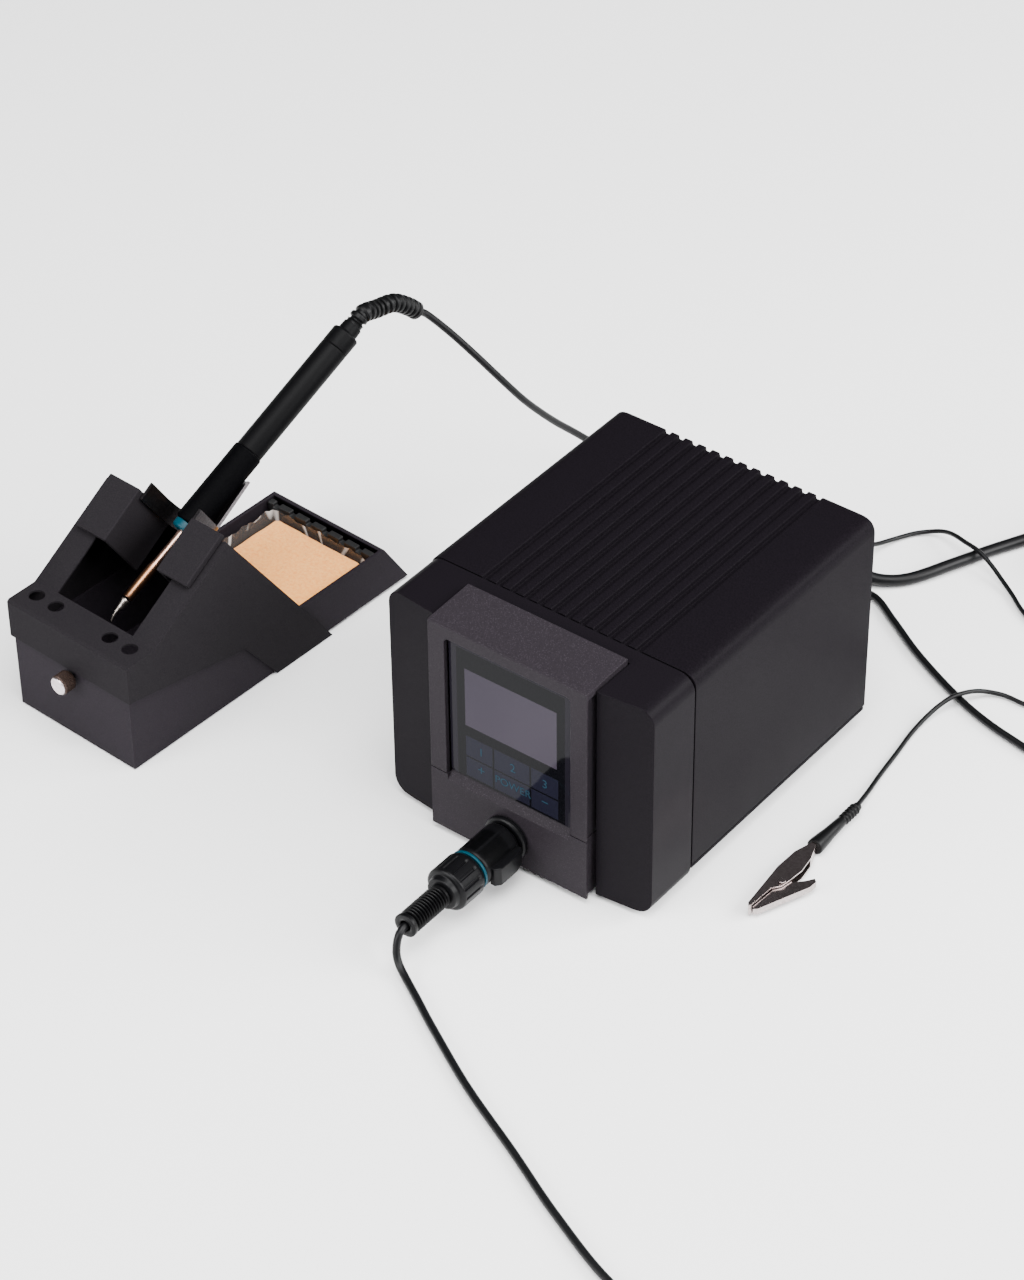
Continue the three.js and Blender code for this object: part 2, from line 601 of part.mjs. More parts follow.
function restBlock(sign) {
  const r = REST;
  const pad = sign > 0 ? [r.inner, r.outer] : [-r.outer, -r.inner];
  const wall = sign > 0 ? [r.inner, r.inner + r.wall] : [-r.inner - r.wall, -r.inner];
  const body = union([
    onSlope(block(pad[0], pad[1], r.from, r.to, GAP, r.proud)),
    onSlope(block(wall[0], wall[1], r.from, r.to, -r.deep, r.proud)),
  ]);
  return inHolder(body);
}

function cradleShape(reachLeft, reachRight, top) {
  const { radius, sheet, drop } = CRADLE;
  const start = Math.PI * 1.5 - reachLeft;
  const end = Math.PI * 1.5 + reachRight;
  const outer = arc(0, -drop, radius, start, end, 14);
  const inner = arc(0, -drop, radius - sheet, end, start, 14);
  if (top === null) return outline([...outer, ...inner]);
  return outline([[-radius, top], ...outer, [radius, top], [radius - sheet, top], ...inner,
    [-radius + sheet, top]]);
}

function restCradle() {
  const { from, to, tongue } = CRADLE;
  const cup = onSlope(prismY(cradleShape(Math.PI / 2, Math.PI / 2, 0.2), from, to));
  const lip = onSlope(prismY(cradleShape(0.45, 0.95, null), to - 0.5, tongue));
  return inHolder(union([cup, lip]));
}

function slagDrawer() {
  const { half, length, top, floor, sheet } = DRAWER;
  return inHolder(cut(solid(block(-half, half, 0, length, floor, top)), [
    block(-half + sheet, half - sheet, sheet, length - sheet, floor + sheet, top + 2),
    rod(KNOB.stud + 0.4, -3, 3, [0, 0, KNOB.z - 1.2], Y, 16),
  ]));
}

function drawerKnob() {
  const { radius, length, stand, stud, z } = KNOB;
  const out = -stand - length;
  return inHolder(turned([
    [0, 4.2], [stud, 4.2], [stud, -stand], [radius - 0.3, -stand], [radius, -stand - 0.4],
    [radius, out + 0.6], [radius - 0.6, out], [0, out],
  ], [0, 0, z - 1.2], Y, 24));
}

function spongeTray() {
  const { half, from, rimB, footB, bottom, rim, wall } = TRAY;
  const outer = outline([[from, bottom], [footB, bottom], [rimB, rim], [from, rim]]);
  const slant = (footB - rimB) / (rim - bottom);
  const inner = outline([
    [from + wall, bottom + wall], [footB - slant * wall - wall * 1.2, bottom + wall],
    [rimB - wall * 1.2 - slant * 4, rim + 4], [from + wall, rim + 4],
  ]);
  return inHolder(cut(solid(prismX(outer, -half, half)), [prismX(inner, -half + wall, half - wall)]));
}

function wiperStrip() {
  const { half, wall, rim } = TRAY;
  const reach = half - wall - 0.5;
  const b = TRAY.rimB - 6.4;
  const teeth = [];
  for (let i = 0; i < 6; i += 1) {
    const a = -reach + 3 + i * ((2 * reach - 2) / 6);
    teeth.push(block(a, a + 3, b - 0.4, b + 3.4, rim - 2.6, rim + 1));
  }
  return inHolder(cut(solid(block(-reach, reach, b, b + 3, 6, rim - 0.8)), teeth));
}

function sponge() {
  const { a0, a1, b0, b1, z0, z1 } = SPONGE;
  return inHolder(prismZ(roundRect(a0, b0, a1, b1, 1.5, 2), z0, z1));
}

// ---------------------------------------------------------------- soldering iron (turned on one axis)
const ironStart = new THREE.Vector3(...IRON.start);
const ironAxis = new THREE.Vector3(...IRON.end).sub(ironStart).normalize();

function onIron(profile, segments = 24) {
  return turned(profile, IRON.start, ironAxis, segments);
}

function along(t, sideways = 0, down = 0) {
  const side = new THREE.Vector3().crossVectors(ironAxis, Z).normalize();
  return ironStart.clone().addScaledVector(ironAxis, t).addScaledVector(side, sideways)
    .addScaledVector(Z, -down).toArray();
}

function ironTip() {
  const cone = onIron([[0, -0.3], [1.9, -0.3], [1.9, -1.4], [0.75, -7.4], [0, -7.4]], 16);
  const bend = tube([along(-6.4), along(-7.6), along(-8.8, 0, 0.2), along(-10.4, 0.3, 1.0)], 1.1, 6, 8);
  return union([cone, bend]);
}

function cartridge() {
  return onIron([
    [0, 0.2], [1.9, 0.2], [2.2, 0.8], [2.2, 16.4], [1.65, 18.4], [1.65, 62], [0, 62],
  ], 20);
}

function ironCollar() {
  return onIron([
    [2.1, 34.8], [4.9, 34.8], [IRON.collar, 35.4], [IRON.collar, 38.5], [2.1, 38.5], [2.1, 34.8],
  ]);
}

function ironGrip() {
  return onIron([
    [2.1, 38.8], [IRON.grip - 0.4, 38.8], [IRON.grip, 39.6], [IRON.grip, 76.0], [IRON.grip - 0.5, 76.9],
    [2.1, 76.9], [2.1, 38.8],
  ]);
}

function ironBarrel() {
  return onIron([
    [2.1, 77.2], [IRON.barrel, 77.2], [IRON.barrel, 131.6], [2.1, 131.6], [2.1, 77.2],
  ]);
}

function ironCap() {
  return onIron([
    [2.1, 131.9], [IRON.barrel, 131.9], [IRON.barrel, 132.8], [IRON.cap, 133.2], [IRON.cap, 138.6],
    [IRON.cap - 1.2, 140.0], [4.0, 140.0], [4.0, 143.6], [2.1, 143.6], [2.1, 131.9],
  ]);
}

const IRON_BOOT = [
  along(143.9), along(150), [-164.9, 119.6, 122.8], [-163.5, 128.6, 121.4], [-162.2, 136.0, 116.4],
  [-161.4, 141.4, 111.2],
];

function ironBoot() {
  return tube(IRON_BOOT, 8.0, 14, 14);
}

// ---------------------------------------------------------------- cords and what is on them
function coilRing({ centre, radius, turns }, diameter) {
  const thick = (diameter / 2) * Math.sqrt(turns / COIL_FILL);
  const points = arc(radius, thick + 0.2, thick, 0, 2 * Math.PI, 10);
  return turned(points, [centre[0], centre[1], 0], Z, 28);
}

function mainsConnector() {
  const { x, z } = INLET;
  const nose = prismY(roundRect(x - 11.8, z - 7.8, x + 11.8, z + 7.8, 2, 2), SEAT - 2, SEAT + 16);
  const grip = prismY(roundRect(x - 13.6, z - 10, x + 13.6, z + 10, 4, 3), SEAT + 2.8, SEAT + 32.4);
  const boot = turned([
    [0, SEAT + 31.4], [6.5, SEAT + 31.4], [5.4, SEAT + 39.4], [4.0, SEAT + 49.2], [0, SEAT + 49.2],
  ], [x, 0, z], Y, 16);
  return union([nose, grip, boot]);
}

function mainsPlug() {
  const body = prismX(roundRect(-17, 1, 17, 26, 5, 3), 0, 24);
  const boot = turned([[0, 1], [6.6, 1], [4.2, -13], [0, -13]], [0, 0, 13], X, 16);
  const blades = [-6.4, 6.4].map((y) => prismX(rect(y - 0.8, 14, y + 0.8, 20.4), 23, 42));
  const whole = union([body, boot, ...blades, rod(2.4, 23, 44, [0, 0, 7.6], X, 14)]);
  const turn = new THREE.Matrix4().setPosition(190, 268, 0);
  return whole.transform(Array.from(turn.elements));
}

function bananaPlug() {
  const at = [JACK.x, 0, JACK.z];
  return union([
    rod(1.9, SEAT - 9.6, SEAT + 4.8, at, Y, 16),
    turned([
      [0, SEAT + 4.4], [4.6, SEAT + 4.4], [4.8, SEAT + 6.4], [4.8, SEAT + 16.4], [3.2, SEAT + 19.4],
      [2.2, SEAT + 28.4], [0, SEAT + 28.4],
    ], at, Y, 20),
  ]);
}

const CLIP = { x: 91.3, boot: [98.9, 68.4], z: 3.6, pivot: [93.2, 42.6] };

function clipBoot() {
  const [rear, front] = CLIP.boot;
  return turned([
    [3.1, front], [3.6, front], [3.6, front + 2], [2.5, rear - 10], [2.2, rear - 2], [1.8, rear],
    [0, rear], [0, front + 8], [3.1, front + 8], [3.1, front],
  ], [CLIP.x - 0.6, 0, CLIP.z], Y, 20);
}

function fixedJaw() {
  const plan = outline([
    [89.6, 74], [91.8, 74], [91.8, 67.6], [94.6, 60.5], [95.8, 52.5], [95.2, 45.5], [94.4, 40.6],
    [92.0, 37.4], [91.4, 25.0], [90.6, 24.0], [89.6, 25.4], [87.0, 49.0], [87.4, 60.0], [89.6, 67.6],
  ]);
  const inner = outline([
    [89.8, 60], [99, 60], [99, 23.4], [92.4, 23.4], [90.4, 27], [88.0, 49.0], [88.4, 58],
  ]);
  const body = cut(
    solid(prismZ(plan, CLIP.z - 2.4, CLIP.z + 2.4)),
    [prismZ(inner, CLIP.z - 1.8, CLIP.z + 1.8)],
  );
  return cut(body, [rod(1.1, 0, 8, [...CLIP.pivot, 0], Z, 16)]);
}

function movingJaw() {
  const plan = outline([
    [91.9, 25.2], [92.6, 24.2], [94.0, 25.4], [103.0, 47.4], [103.2, 51.4], [101.8, 52.6],
    [99.8, 49.6], [96.4, 45.8], [93.6, 44.8], [91.2, 43.4], [91.4, 40.6], [92.6, 37.6],
  ]);
  const inner = outline([
    [89, 44], [95.6, 44], [99.2, 46.6], [100.4, 47.0], [93.4, 28.4], [92.2, 26.2], [89, 26.2],
  ]);
  const body = cut(
    solid(prismZ(plan, CLIP.z - 1.4, CLIP.z + 1.4)),
    [prismZ(inner, CLIP.z - 0.9, CLIP.z + 0.9)],
  );
  return cut(body, [rod(1.1, 0, 8, [...CLIP.pivot, 0], Z, 16)]);
}

function clipRivet() {
  const half = 3.2;
  const plate = 2.8;
  return turned([
    [0, -half], [1.5, -half], [1.5, -plate], [0.75, -plate], [0.75, plate], [1.5, plate],
    [1.5, half], [0, half],
  ], [...CLIP.pivot, CLIP.z], Z, 16);
}

// ---------------------------------------------------------------- assembly
add('cover_shell', coverShell(), PAINT);
add('front_bezel', frontBezel(), PAINT);
add('upper_fascia', upperFascia(), FASCIA_PAINT);
add('lower_fascia', lowerFascia(), FASCIA_PAINT);
add('display_lens', displayLens(), GLASS);
add('lcd_module', lcdModule(), LCD_GREY);
add('key_board', keyBoard(), BOARD);
add('control_board', controlBoard(), BOARD);
add('base_plate', basePlate(), STEEL);
add('foot_front_left', foot(-FEET.x, FEET.front), RUBBER);
add('foot_front_right', foot(FEET.x, FEET.front), RUBBER);
add('foot_back_left', foot(-FEET.x, FEET.back), RUBBER);
add('foot_back_right', foot(FEET.x, FEET.back), RUBBER);
add('rear_panel', rearPanel(), PAINT);
add('mains_inlet', mainsInlet(), PLASTIC);
add('switch_frame', switchFrame(), PLASTIC);
add('switch_rocker', rocker(), PLASTIC);
add('fuse_cap', fuseCap(), PLASTIC);
add('ground_jack', groundJack(), NICKEL);
add('transformer_core', transformerCore(), STEEL);
add('transformer_winding', transformerWinding(), COPPER);
add('main_board', mainBoard(), BOARD);
add('heatsink', heatsink(), STEEL);
add('iron_socket', ironSocket(), PLASTIC);
add('plug_barrel', plugBarrel(), PLASTIC);
add('plug_ring', plugRing(), TEAL);
add('plug_nut', plugNut(), PLASTIC);
add('plug_latch', plugLatch(), PLASTIC);
add('plug_boot', plugBoot(), RUBBER);

add('holder_shell', holderShell(), PAINT);
add('rest_block_left', restBlock(-1), PAINT);
add('rest_block_right', restBlock(1), PAINT);
add('rest_cradle', restCradle(), STEEL);
add('slag_drawer', slagDrawer(), FASCIA_PAINT);
add('drawer_knob', drawerKnob(), NICKEL);
add('sponge_tray', spongeTray(), PAINT);
add('wiper_strip', wiperStrip(), RUBBER);
add('sponge', sponge(), SPONGE_FOAM);

add('iron_tip', ironTip(), STEEL);
add('iron_cartridge', cartridge(), BRONZE);
add('iron_collar', ironCollar(), TEAL);
add('iron_grip', ironGrip(), RUBBER);
add('iron_barrel', ironBarrel(), PLASTIC);
add('iron_cap', ironCap(), PLASTIC);
add('iron_boot', ironBoot(), RUBBER);

const onCords = [
  add('iron_cord', tube(IRON_ROUTE, IRON_CORD_D, 78, 8), RUBBER),
  add('mains_cord', tube(MAINS_ROUTE, MAINS_CORD_D, 18, 10), RUBBER),
  add('mains_tail', tube(MAINS_TAIL, MAINS_CORD_D, 12, 10), RUBBER),
  add('mains_coil', coilRing(MAINS_COIL, MAINS_CORD_D), RUBBER),
  add('mains_plug', mainsPlug(), PLASTIC),
  add('ground_cord', tube(GROUND_ROUTE, GROUND_CORD_D, 44, 8), RUBBER),
  add('ground_tail', tube(GROUND_TAIL, GROUND_CORD_D, 34, 8), RUBBER),
  add('ground_coil', coilRing(GROUND_COIL, GROUND_CORD_D), RUBBER),
  add('clip_boot', clipBoot(), RUBBER),
  add('clip_fixed_jaw', fixedJaw(), NICKEL),
  add('clip_moving_jaw', movingJaw(), NICKEL),
  add('clip_rivet', clipRivet(), NICKEL),
];
add('mains_connector', mainsConnector(), PLASTIC);
add('banana_plug', bananaPlug(), PLASTIC);

// The origin is the middle of the object's base, measured without the loose cords.
const box = new THREE.Box3();
for (const mesh of parts.children) {
  if (!onCords.includes(mesh)) box.expandByObject(mesh);
}
const middle = box.getCenter(new THREE.Vector3());
for (const mesh of parts.children) mesh.geometry.translate(-middle.x, -middle.y, 0);

export default parts;
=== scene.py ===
"""Desktop soldering station, its iron holder, iron and leads: the finished surfaces.

Lengths are millimetres in the housing's own frame (x from the housing's middle to its right, y from the
bezel's front edge to the back, z up from the table). place() turns them to metres in the row frame.
"""
import json

import bmesh
import bpy
import numpy as np
from mathutils import Matrix


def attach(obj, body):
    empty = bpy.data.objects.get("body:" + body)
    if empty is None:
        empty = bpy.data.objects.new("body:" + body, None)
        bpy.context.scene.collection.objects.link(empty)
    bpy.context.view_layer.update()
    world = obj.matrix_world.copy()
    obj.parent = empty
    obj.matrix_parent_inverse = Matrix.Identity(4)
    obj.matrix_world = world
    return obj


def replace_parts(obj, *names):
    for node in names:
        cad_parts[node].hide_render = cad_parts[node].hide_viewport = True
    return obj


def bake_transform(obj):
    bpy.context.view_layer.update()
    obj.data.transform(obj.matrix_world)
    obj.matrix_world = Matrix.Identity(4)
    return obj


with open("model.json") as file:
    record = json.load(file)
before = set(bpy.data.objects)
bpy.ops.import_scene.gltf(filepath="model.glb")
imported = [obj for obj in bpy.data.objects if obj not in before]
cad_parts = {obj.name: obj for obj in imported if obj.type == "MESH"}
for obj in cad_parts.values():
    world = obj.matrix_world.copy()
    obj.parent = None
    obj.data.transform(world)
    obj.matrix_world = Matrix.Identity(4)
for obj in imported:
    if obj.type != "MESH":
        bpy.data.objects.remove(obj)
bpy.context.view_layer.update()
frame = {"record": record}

MM = 0.001
SHIFT = np.array((78.44562530517578, -60.80000305175781, 0.0))
TAU = 2 * np.pi


def place(points):
    """Housing millimetres to row metres: (p + SHIFT) / 1000."""
    return (np.asarray(points, float) + SHIFT) * MM


# ------------------------------------------------------------------ camera
EYE = (692.66, -888.11, 1019.51)
HEADING, PITCH, ROLL = 0.6645, 0.6809, -0.0119
SENSOR, LENS = 36.0, 109.94


def add_camera():
    """Looks along -back, where back = (sin h cos p, -cos h cos p, sin p), then rolls about it."""
    back = np.array((np.sin(HEADING) * np.cos(PITCH), -np.cos(HEADING) * np.cos(PITCH), np.sin(PITCH)))
    level = np.array((np.cos(HEADING), np.sin(HEADING), 0.0))
    rise = np.cross(back, level)
    right = np.cos(ROLL) * level + np.sin(ROLL) * rise
    up = np.cos(ROLL) * rise - np.sin(ROLL) * level
    data = bpy.data.cameras.new("camera")
    data.sensor_width = SENSOR
    data.lens = LENS
    data.clip_end = 20.0
    camera = bpy.data.objects.new("camera", data)
    axes = np.eye(4)
    axes[:3, 0], axes[:3, 1], axes[:3, 2], axes[:3, 3] = right, up, back, place(EYE)
    camera.matrix_world = Matrix(axes.tolist())
    bpy.context.scene.collection.objects.link(camera)
    bpy.context.scene.camera = camera


add_camera()


# ------------------------------------------------------------------ meshes from arrays
def unit(vector):
    """v / |v| along the last axis."""
    vector = np.asarray(vector, float)
    return vector / np.linalg.norm(vector, axis=-1, keepdims=True)


def grid_faces(rows, columns, wrap):
    """Quads between neighbouring rows of a grid; wrap joins the last column to the first."""
    row = np.arange(rows - 1)[:, None]
    column = np.arange(columns if wrap else columns - 1)[None, :]
    after = (column + 1) % columns
    corners = np.stack(np.broadcast_arrays(
        row * columns + column, row * columns + after,
        (row + 1) * columns + after, (row + 1) * columns + column), axis=-1)
    return corners.reshape(-1, 4)


def make_mesh(name, points, faces, material, body, closed=True, smooth_angle=38):
    """Housing-frame points and faces become one piece that rides on a body."""
    mesh = bpy.data.meshes.new(name)
    mesh.from_pydata(place(points).tolist(), [], [list(face) for face in faces])
    work = bmesh.new()
    work.from_mesh(mesh)
    bmesh.ops.remove_doubles(work, verts=work.verts, dist=2e-6)
    bmesh.ops.dissolve_degenerate(work, edges=work.edges, dist=1e-7)
    if closed:
        bmesh.ops.recalc_face_normals(work, faces=work.faces)
    work.to_mesh(mesh)
    work.free()
    return dress(bpy.data.objects.new(name, mesh), material, body, smooth_angle)


def dress(piece, material, body, smooth_angle=38):
    """Links a piece, gives it its finish and its body, and keeps creases sharper than the angle."""
    bpy.context.scene.collection.objects.link(piece)
    piece.data.materials.clear()
    piece.data.materials.append(material)
    piece.data.shade_smooth()
    piece.data.set_sharp_from_angle(angle=np.radians(smooth_angle))
    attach(piece, body)
    return piece


def eased(corners, ease, steps=4, closed=False):
    """Rounds each corner P of a line: (1-t)^2 A + 2t(1-t) P + t^2 B, A and B set back along its sides."""
    corners = np.asarray(corners, float)
    reach = np.broadcast_to(np.asarray(ease, float), (len(corners),))[:, None]
    before, after = np.roll(corners, 1, axis=0) - corners, np.roll(corners, -1, axis=0) - corners
    span_before = np.linalg.norm(before, axis=1, keepdims=True)
    span_after = np.linalg.norm(after, axis=1, keepdims=True)
    start = corners + before / np.maximum(span_before, 1e-9) * np.minimum(reach, 0.45 * span_before)
    end = corners + after / np.maximum(span_after, 1e-9) * np.minimum(reach, 0.45 * span_after)
    t = np.linspace(0, 1, steps + 1)[None, :, None]
    bends = (1 - t) ** 2 * start[:, None] + 2 * t * (1 - t) * corners[:, None] + t ** 2 * end[:, None]
    if closed:
        return bends.reshape(-1, corners.shape[1])
    middle = bends[1:-1].reshape(-1, corners.shape[1])
    return np.concatenate([corners[:1], middle, corners[-1:]])


def spline(knots, count):
    """Centripetal-free Catmull-Rom line through the knots, resampled to even steps along its length."""
    knots = np.asarray(knots, float)
    padded = np.vstack([2 * knots[0] - knots[1], knots, 2 * knots[-1] - knots[-2]])
    t = np.linspace(0, 1, 24, endpoint=False)[None, :, None]
    p0, p1, p2, p3 = (padded[i:len(padded) - 3 + i, None] for i in range(4))
    line = 0.5 * (2 * p1 + (p2 - p0) * t + (2 * p0 - 5 * p1 + 4 * p2 - p3) * t ** 2
                  + (3 * p1 - p0 - 3 * p2 + p3) * t ** 3)
    line = np.vstack([line.reshape(-1, 3), knots[-1:]])
    return even(line, count)


def even(line, count):
    """The same line at equal steps of arc length."""
    run = np.concatenate([[0], np.cumsum(np.linalg.norm(np.diff(line, axis=0), axis=1))])
    marks = np.linspace(0, run[-1], count)
    return np.stack([np.interp(marks, run, line[:, k]) for k in range(3)], axis=1)


def length_of(line):
    """Sum of the steps between points."""
    return float(np.linalg.norm(np.diff(line, axis=0), axis=1).sum())


def side_frames(path):
    """Two unit normals at each point of a path, carried along it without twist."""
    tangent = unit(np.gradient(path, axis=0))
    first = np.cross(tangent[0], (0.31, 0.17, 0.93))
    normals = [unit(first)]
    for along in tangent[1:]:
        carried = normals[-1] - np.dot(normals[-1], along) * along
        normals.append(carried / np.linalg.norm(carried))
    side = np.array(normals)
    return side, np.cross(tangent, side)


def tube_grid(path, radius, around):
    """path + r(s, a) (cos a side + sin a up), with a point at each end to close it."""
    side, up = side_frames(path)
    angle = np.linspace(0, TAU, around, endpoint=False)
    radius = np.broadcast_to(radius, len(path))
    ring = np.cos(angle)[None, :, None] * side[:, None] + np.sin(angle)[None, :, None] * up[:, None]
    points = path[:, None] + radius[:, None, None] * ring
    capped = np.concatenate([np.broadcast_to(path[:1, None], points[:1].shape), points,
                             np.broadcast_to(path[-1:, None], points[:1].shape)])
    return capped.reshape(-1, 3), grid_faces(len(path) + 2, around, True)


def lathe_grid(profile, origin, axis, around=64, wave=None):
    """Turned body: origin + t axis + (r + wave(t, a)) (cos a u + sin a v); profile rows are (r, t)."""
    axis = unit(axis)
    u = unit(np.cross(axis, (0.02, 0.05, 1.0) if abs(axis[2]) < 0.9 else (1.0, 0, 0)))
    v = np.cross(axis, u)
    angle = np.linspace(0, TAU, around, endpoint=False)[None, :]
    radius, height = profile[:, 0:1], profile[:, 1:2]
    extra = wave(height, angle) * (radius > 1e-6) if wave else 0.0
    spread = np.broadcast_to(radius + extra, (len(profile), around))[:, :, None]
    points = (np.asarray(origin, float) + height[:, :, None] * axis
              + spread * (np.cos(angle)[:, :, None] * u + np.sin(angle)[:, :, None] * v))
    return points.reshape(-1, 3), grid_faces(len(profile), around, True)


def slab_grid(outline, place_on, low, high):
    """A flat outline (n, 2) carried from low to high: two end faces and a band of quads."""
    count = len(outline)
    points = np.vstack([place_on(outline, low), place_on(outline, high)])
    band = grid_faces(2, count, True).tolist()
    return points, band + [list(range(count))[::-1], list(range(count, 2 * count))]


def bevelled(piece, width, segments=2, angle=40):
    """Rounds the piece's sharp edges by a width in mm, as tooling or a thick coat of paint does."""
    bevel = piece.modifiers.new("edge", "BEVEL")
    bevel.width = width * MM
    bevel.segments = segments
    bevel.limit_method = "ANGLE"
    bevel.angle_limit = np.radians(angle)
    bevel.harden_normals = True
    return piece


def cast_copy(node, material, width=0.25, segments=2, merge=0.012, angle=28):
    """A copy of the frame's own solid with doubles merged, flats made whole and its edges eased."""
    source = bpy.data.objects[node]
    mesh = source.data.copy()
    work = bmesh.new()
    work.from_mesh(mesh)
    bmesh.ops.remove_doubles(work, verts=work.verts, dist=merge * MM)
    bmesh.ops.dissolve_degenerate(work, edges=work.edges, dist=merge * MM * 0.5)
    bmesh.ops.dissolve_limit(work, angle_limit=np.radians(0.6), verts=work.verts, edges=work.edges)
    work.to_mesh(mesh)
    work.free()
    body = next(name for name, nodes in frame["record"]["behaviour"]["bodies"].items() if node in nodes)
    piece = dress(bpy.data.objects.new(node + "_finish", mesh), material, body)
    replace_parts(piece, node)
    return bevelled(piece, width, segments, angle)


# ------------------------------------------------------------------ materials
def linear(colour):
    """An sRGB hex colour as linear red, green, blue and alpha."""
    value = np.array([int(colour[i:i + 2], 16) for i in (1, 3, 5)]) / 255
    made = np.where(value <= 0.04045, value / 12.92, ((value + 0.055) / 1.055) ** 2.4)
    return (*made.tolist(), 1.0)


def node(tree, kind, inputs=None, **settings):
    """Adds one node with its settings; an input is a value or the socket that feeds it."""
    made = tree.nodes.new(kind)
    for key, value in settings.items():
        setattr(made, key, value)
    for key, value in (inputs or {}).items():
        if isinstance(value, bpy.types.NodeSocket):
            tree.links.new(value, made.inputs[key])
        else:
            made.inputs[key].default_value = value
    return made


def new_finish(name, **constants):
    """An empty material with its shader, its output and the object's own coordinates."""
    material = bpy.data.materials.new(name)
    material.use_nodes = True
    tree = material.node_tree
    tree.nodes.clear()
    shader = node(tree, "ShaderNodeBsdfPrincipled", constants)
    node(tree, "ShaderNodeOutputMaterial", {"Surface": shader.outputs["BSDF"]})
    where = node(tree, "ShaderNodeTexCoord").outputs["Object"]
    return material, tree, shader, where


def tint(tree, factor, dark, light, low=0.35, high=0.65):
    """A colour that goes from dark to light as the factor goes from low to high."""
    ramp = node(tree, "ShaderNodeValToRGB", {"Fac": factor})
    ramp.color_ramp.elements[0].position = low
    ramp.color_ramp.elements[0].color = linear(dark)
    ramp.color_ramp.elements[1].position = high
    ramp.color_ramp.elements[1].color = linear(light)
    return ramp.outputs["Color"]


def between(tree, factor, low, high):
    """Maps 0..1 to low..high."""
    spread = node(tree, "ShaderNodeMapRange", {"Value": factor, "To Min": low, "To Max": high})
    return spread.outputs["Result"]


def speckled_skin(name, dark, light, roughness, grain, height, metallic=0.0, fleck=None, coat=0.0, level=0.5):
    """A sprayed, moulded or etched skin: fine grain in colour and height, broad drifts in gloss.

    grain is the grain's size in mm, height its depth in mm, fleck the colour of scattered bright flakes.
    """
    material, tree, shader, where = new_finish(
        name, Metallic=metallic, **{"Coat Weight": coat, "Coat Roughness": 0.25, "Specular IOR Level": level})
    fine = node(tree, "ShaderNodeTexNoise",
        {"Vector": where, "Scale": 1000 / grain, "Detail": 3.0, "Roughness": 0.6})
    broad = node(tree, "ShaderNodeTexNoise", {"Vector": where, "Scale": 1000 / 38, "Detail": 3.0})
    colour = tint(tree, fine.outputs["Fac"], dark, light)
    if fleck:
        flakes = node(tree, "ShaderNodeTexVoronoi", {"Vector": where, "Scale": 1000 / (grain * 1.6)})
        rare = node(tree, "ShaderNodeMath", {0: flakes.outputs["Color"], 1: 0.62}, operation="GREATER_THAN")
        near = node(tree, "ShaderNodeMath", {0: flakes.outputs["Distance"], 1: 0.34}, operation="LESS_THAN")
        shown = node(tree, "ShaderNodeMath", {0: rare.outputs[0], 1: near.outputs[0]}, operation="MULTIPLY")
        colour = mixed(tree, shown.outputs[0], colour, linear(fleck))
    tree.links.new(colour, shader.inputs["Base Color"])
    gloss = between(tree, broad.outputs["Fac"], roughness - 0.05, roughness + 0.05)
    tree.links.new(gloss, shader.inputs["Roughness"])
    bump = node(tree, "ShaderNodeBump", {"Height": fine.outputs["Fac"], "Distance": height * MM,
        "Strength": 1.0})
    tree.links.new(bump.outputs["Normal"], shader.inputs["Normal"])
    return material


def mixed(tree, factor, first, second):
    """Colour first where the factor is 0 and second where it is 1."""
    mix = node(tree, "ShaderNodeMix", data_type="RGBA")
    for socket, value in ((mix.inputs[0], factor), (mix.inputs[6], first), (mix.inputs[7], second)):
        if isinstance(value, bpy.types.NodeSocket):
            tree.links.new(value, socket)
        else:
            socket.default_value = value
    return mix.outputs[2]


# Extruded aluminium under a fine black powder coat: near black, with a silky grain of half a millimetre.
COATED_ALUMINIUM = speckled_skin("powder_coated_aluminium", "#0a080b", "#131014", 0.46, 0.55, 0.008,
    level=0.022)
# ABS moulded against spark-eroded steel: a satin black that picks up a soft violet light.
SPARK_ABS = speckled_skin("spark_textured_abs", "#0c0a0d", "#141115", 0.42, 0.4, 0.006, level=0.025)
# ABS sprayed with grey lacquer that holds fine aluminium flake: each flake glints, the rest is violet grey.
FLAKE_LACQUER = speckled_skin("flake_lacquered_abs", "#1c191d", "#282428", 0.42, 0.32, 0.006,
    fleck="#332f34", level=0.04)
# Folded sheet steel, matt powder coat of the holder: neutral charcoal with a dry grain.
MATT_COAT = speckled_skin("matt_powder_coated_steel", "#19171a", "#211f21", 0.62, 0.45, 0.012, level=0.02)
# Powder coat of the drawer and tray: a shade more violet and smoother than the shell's.
VIOLET_COAT = speckled_skin("violet_powder_coated_steel", "#1d1a1e", "#252126", 0.55, 0.45, 0.01, level=0.03)
# Glass-filled nylon of plugs and bushes: black with a waxy gloss.
MOULDED_NYLON = speckled_skin("moulded_black_nylon", "#060607", "#0b0b0d", 0.36, 0.7, 0.01, level=0.12)
# Soft PVC of the strain reliefs: blacker and duller than the nylon.
SOFT_PVC = speckled_skin("moulded_soft_pvc", "#040405", "#080809", 0.42, 0.9, 0.008, level=0.14)
# Lead jacket, extruded rubber: a smooth black that takes a narrow highlight.
JACKET = speckled_skin("extruded_rubber_jacket", "#060607", "#0b0b0d", 0.4, 1.2, 0.008, level=0.18)
# Silicone sleeve of the grip: fully matt.
SILICONE = speckled_skin("moulded_silicone", "#020203", "#050506", 0.6, 0.6, 0.01, level=0.02)
# PPS barrel of the handle: matt black with a faint bloom.
PPS_BARREL = speckled_skin("moulded_pps", "#050506", "#09090a", 0.48, 0.5, 0.006, level=0.06)
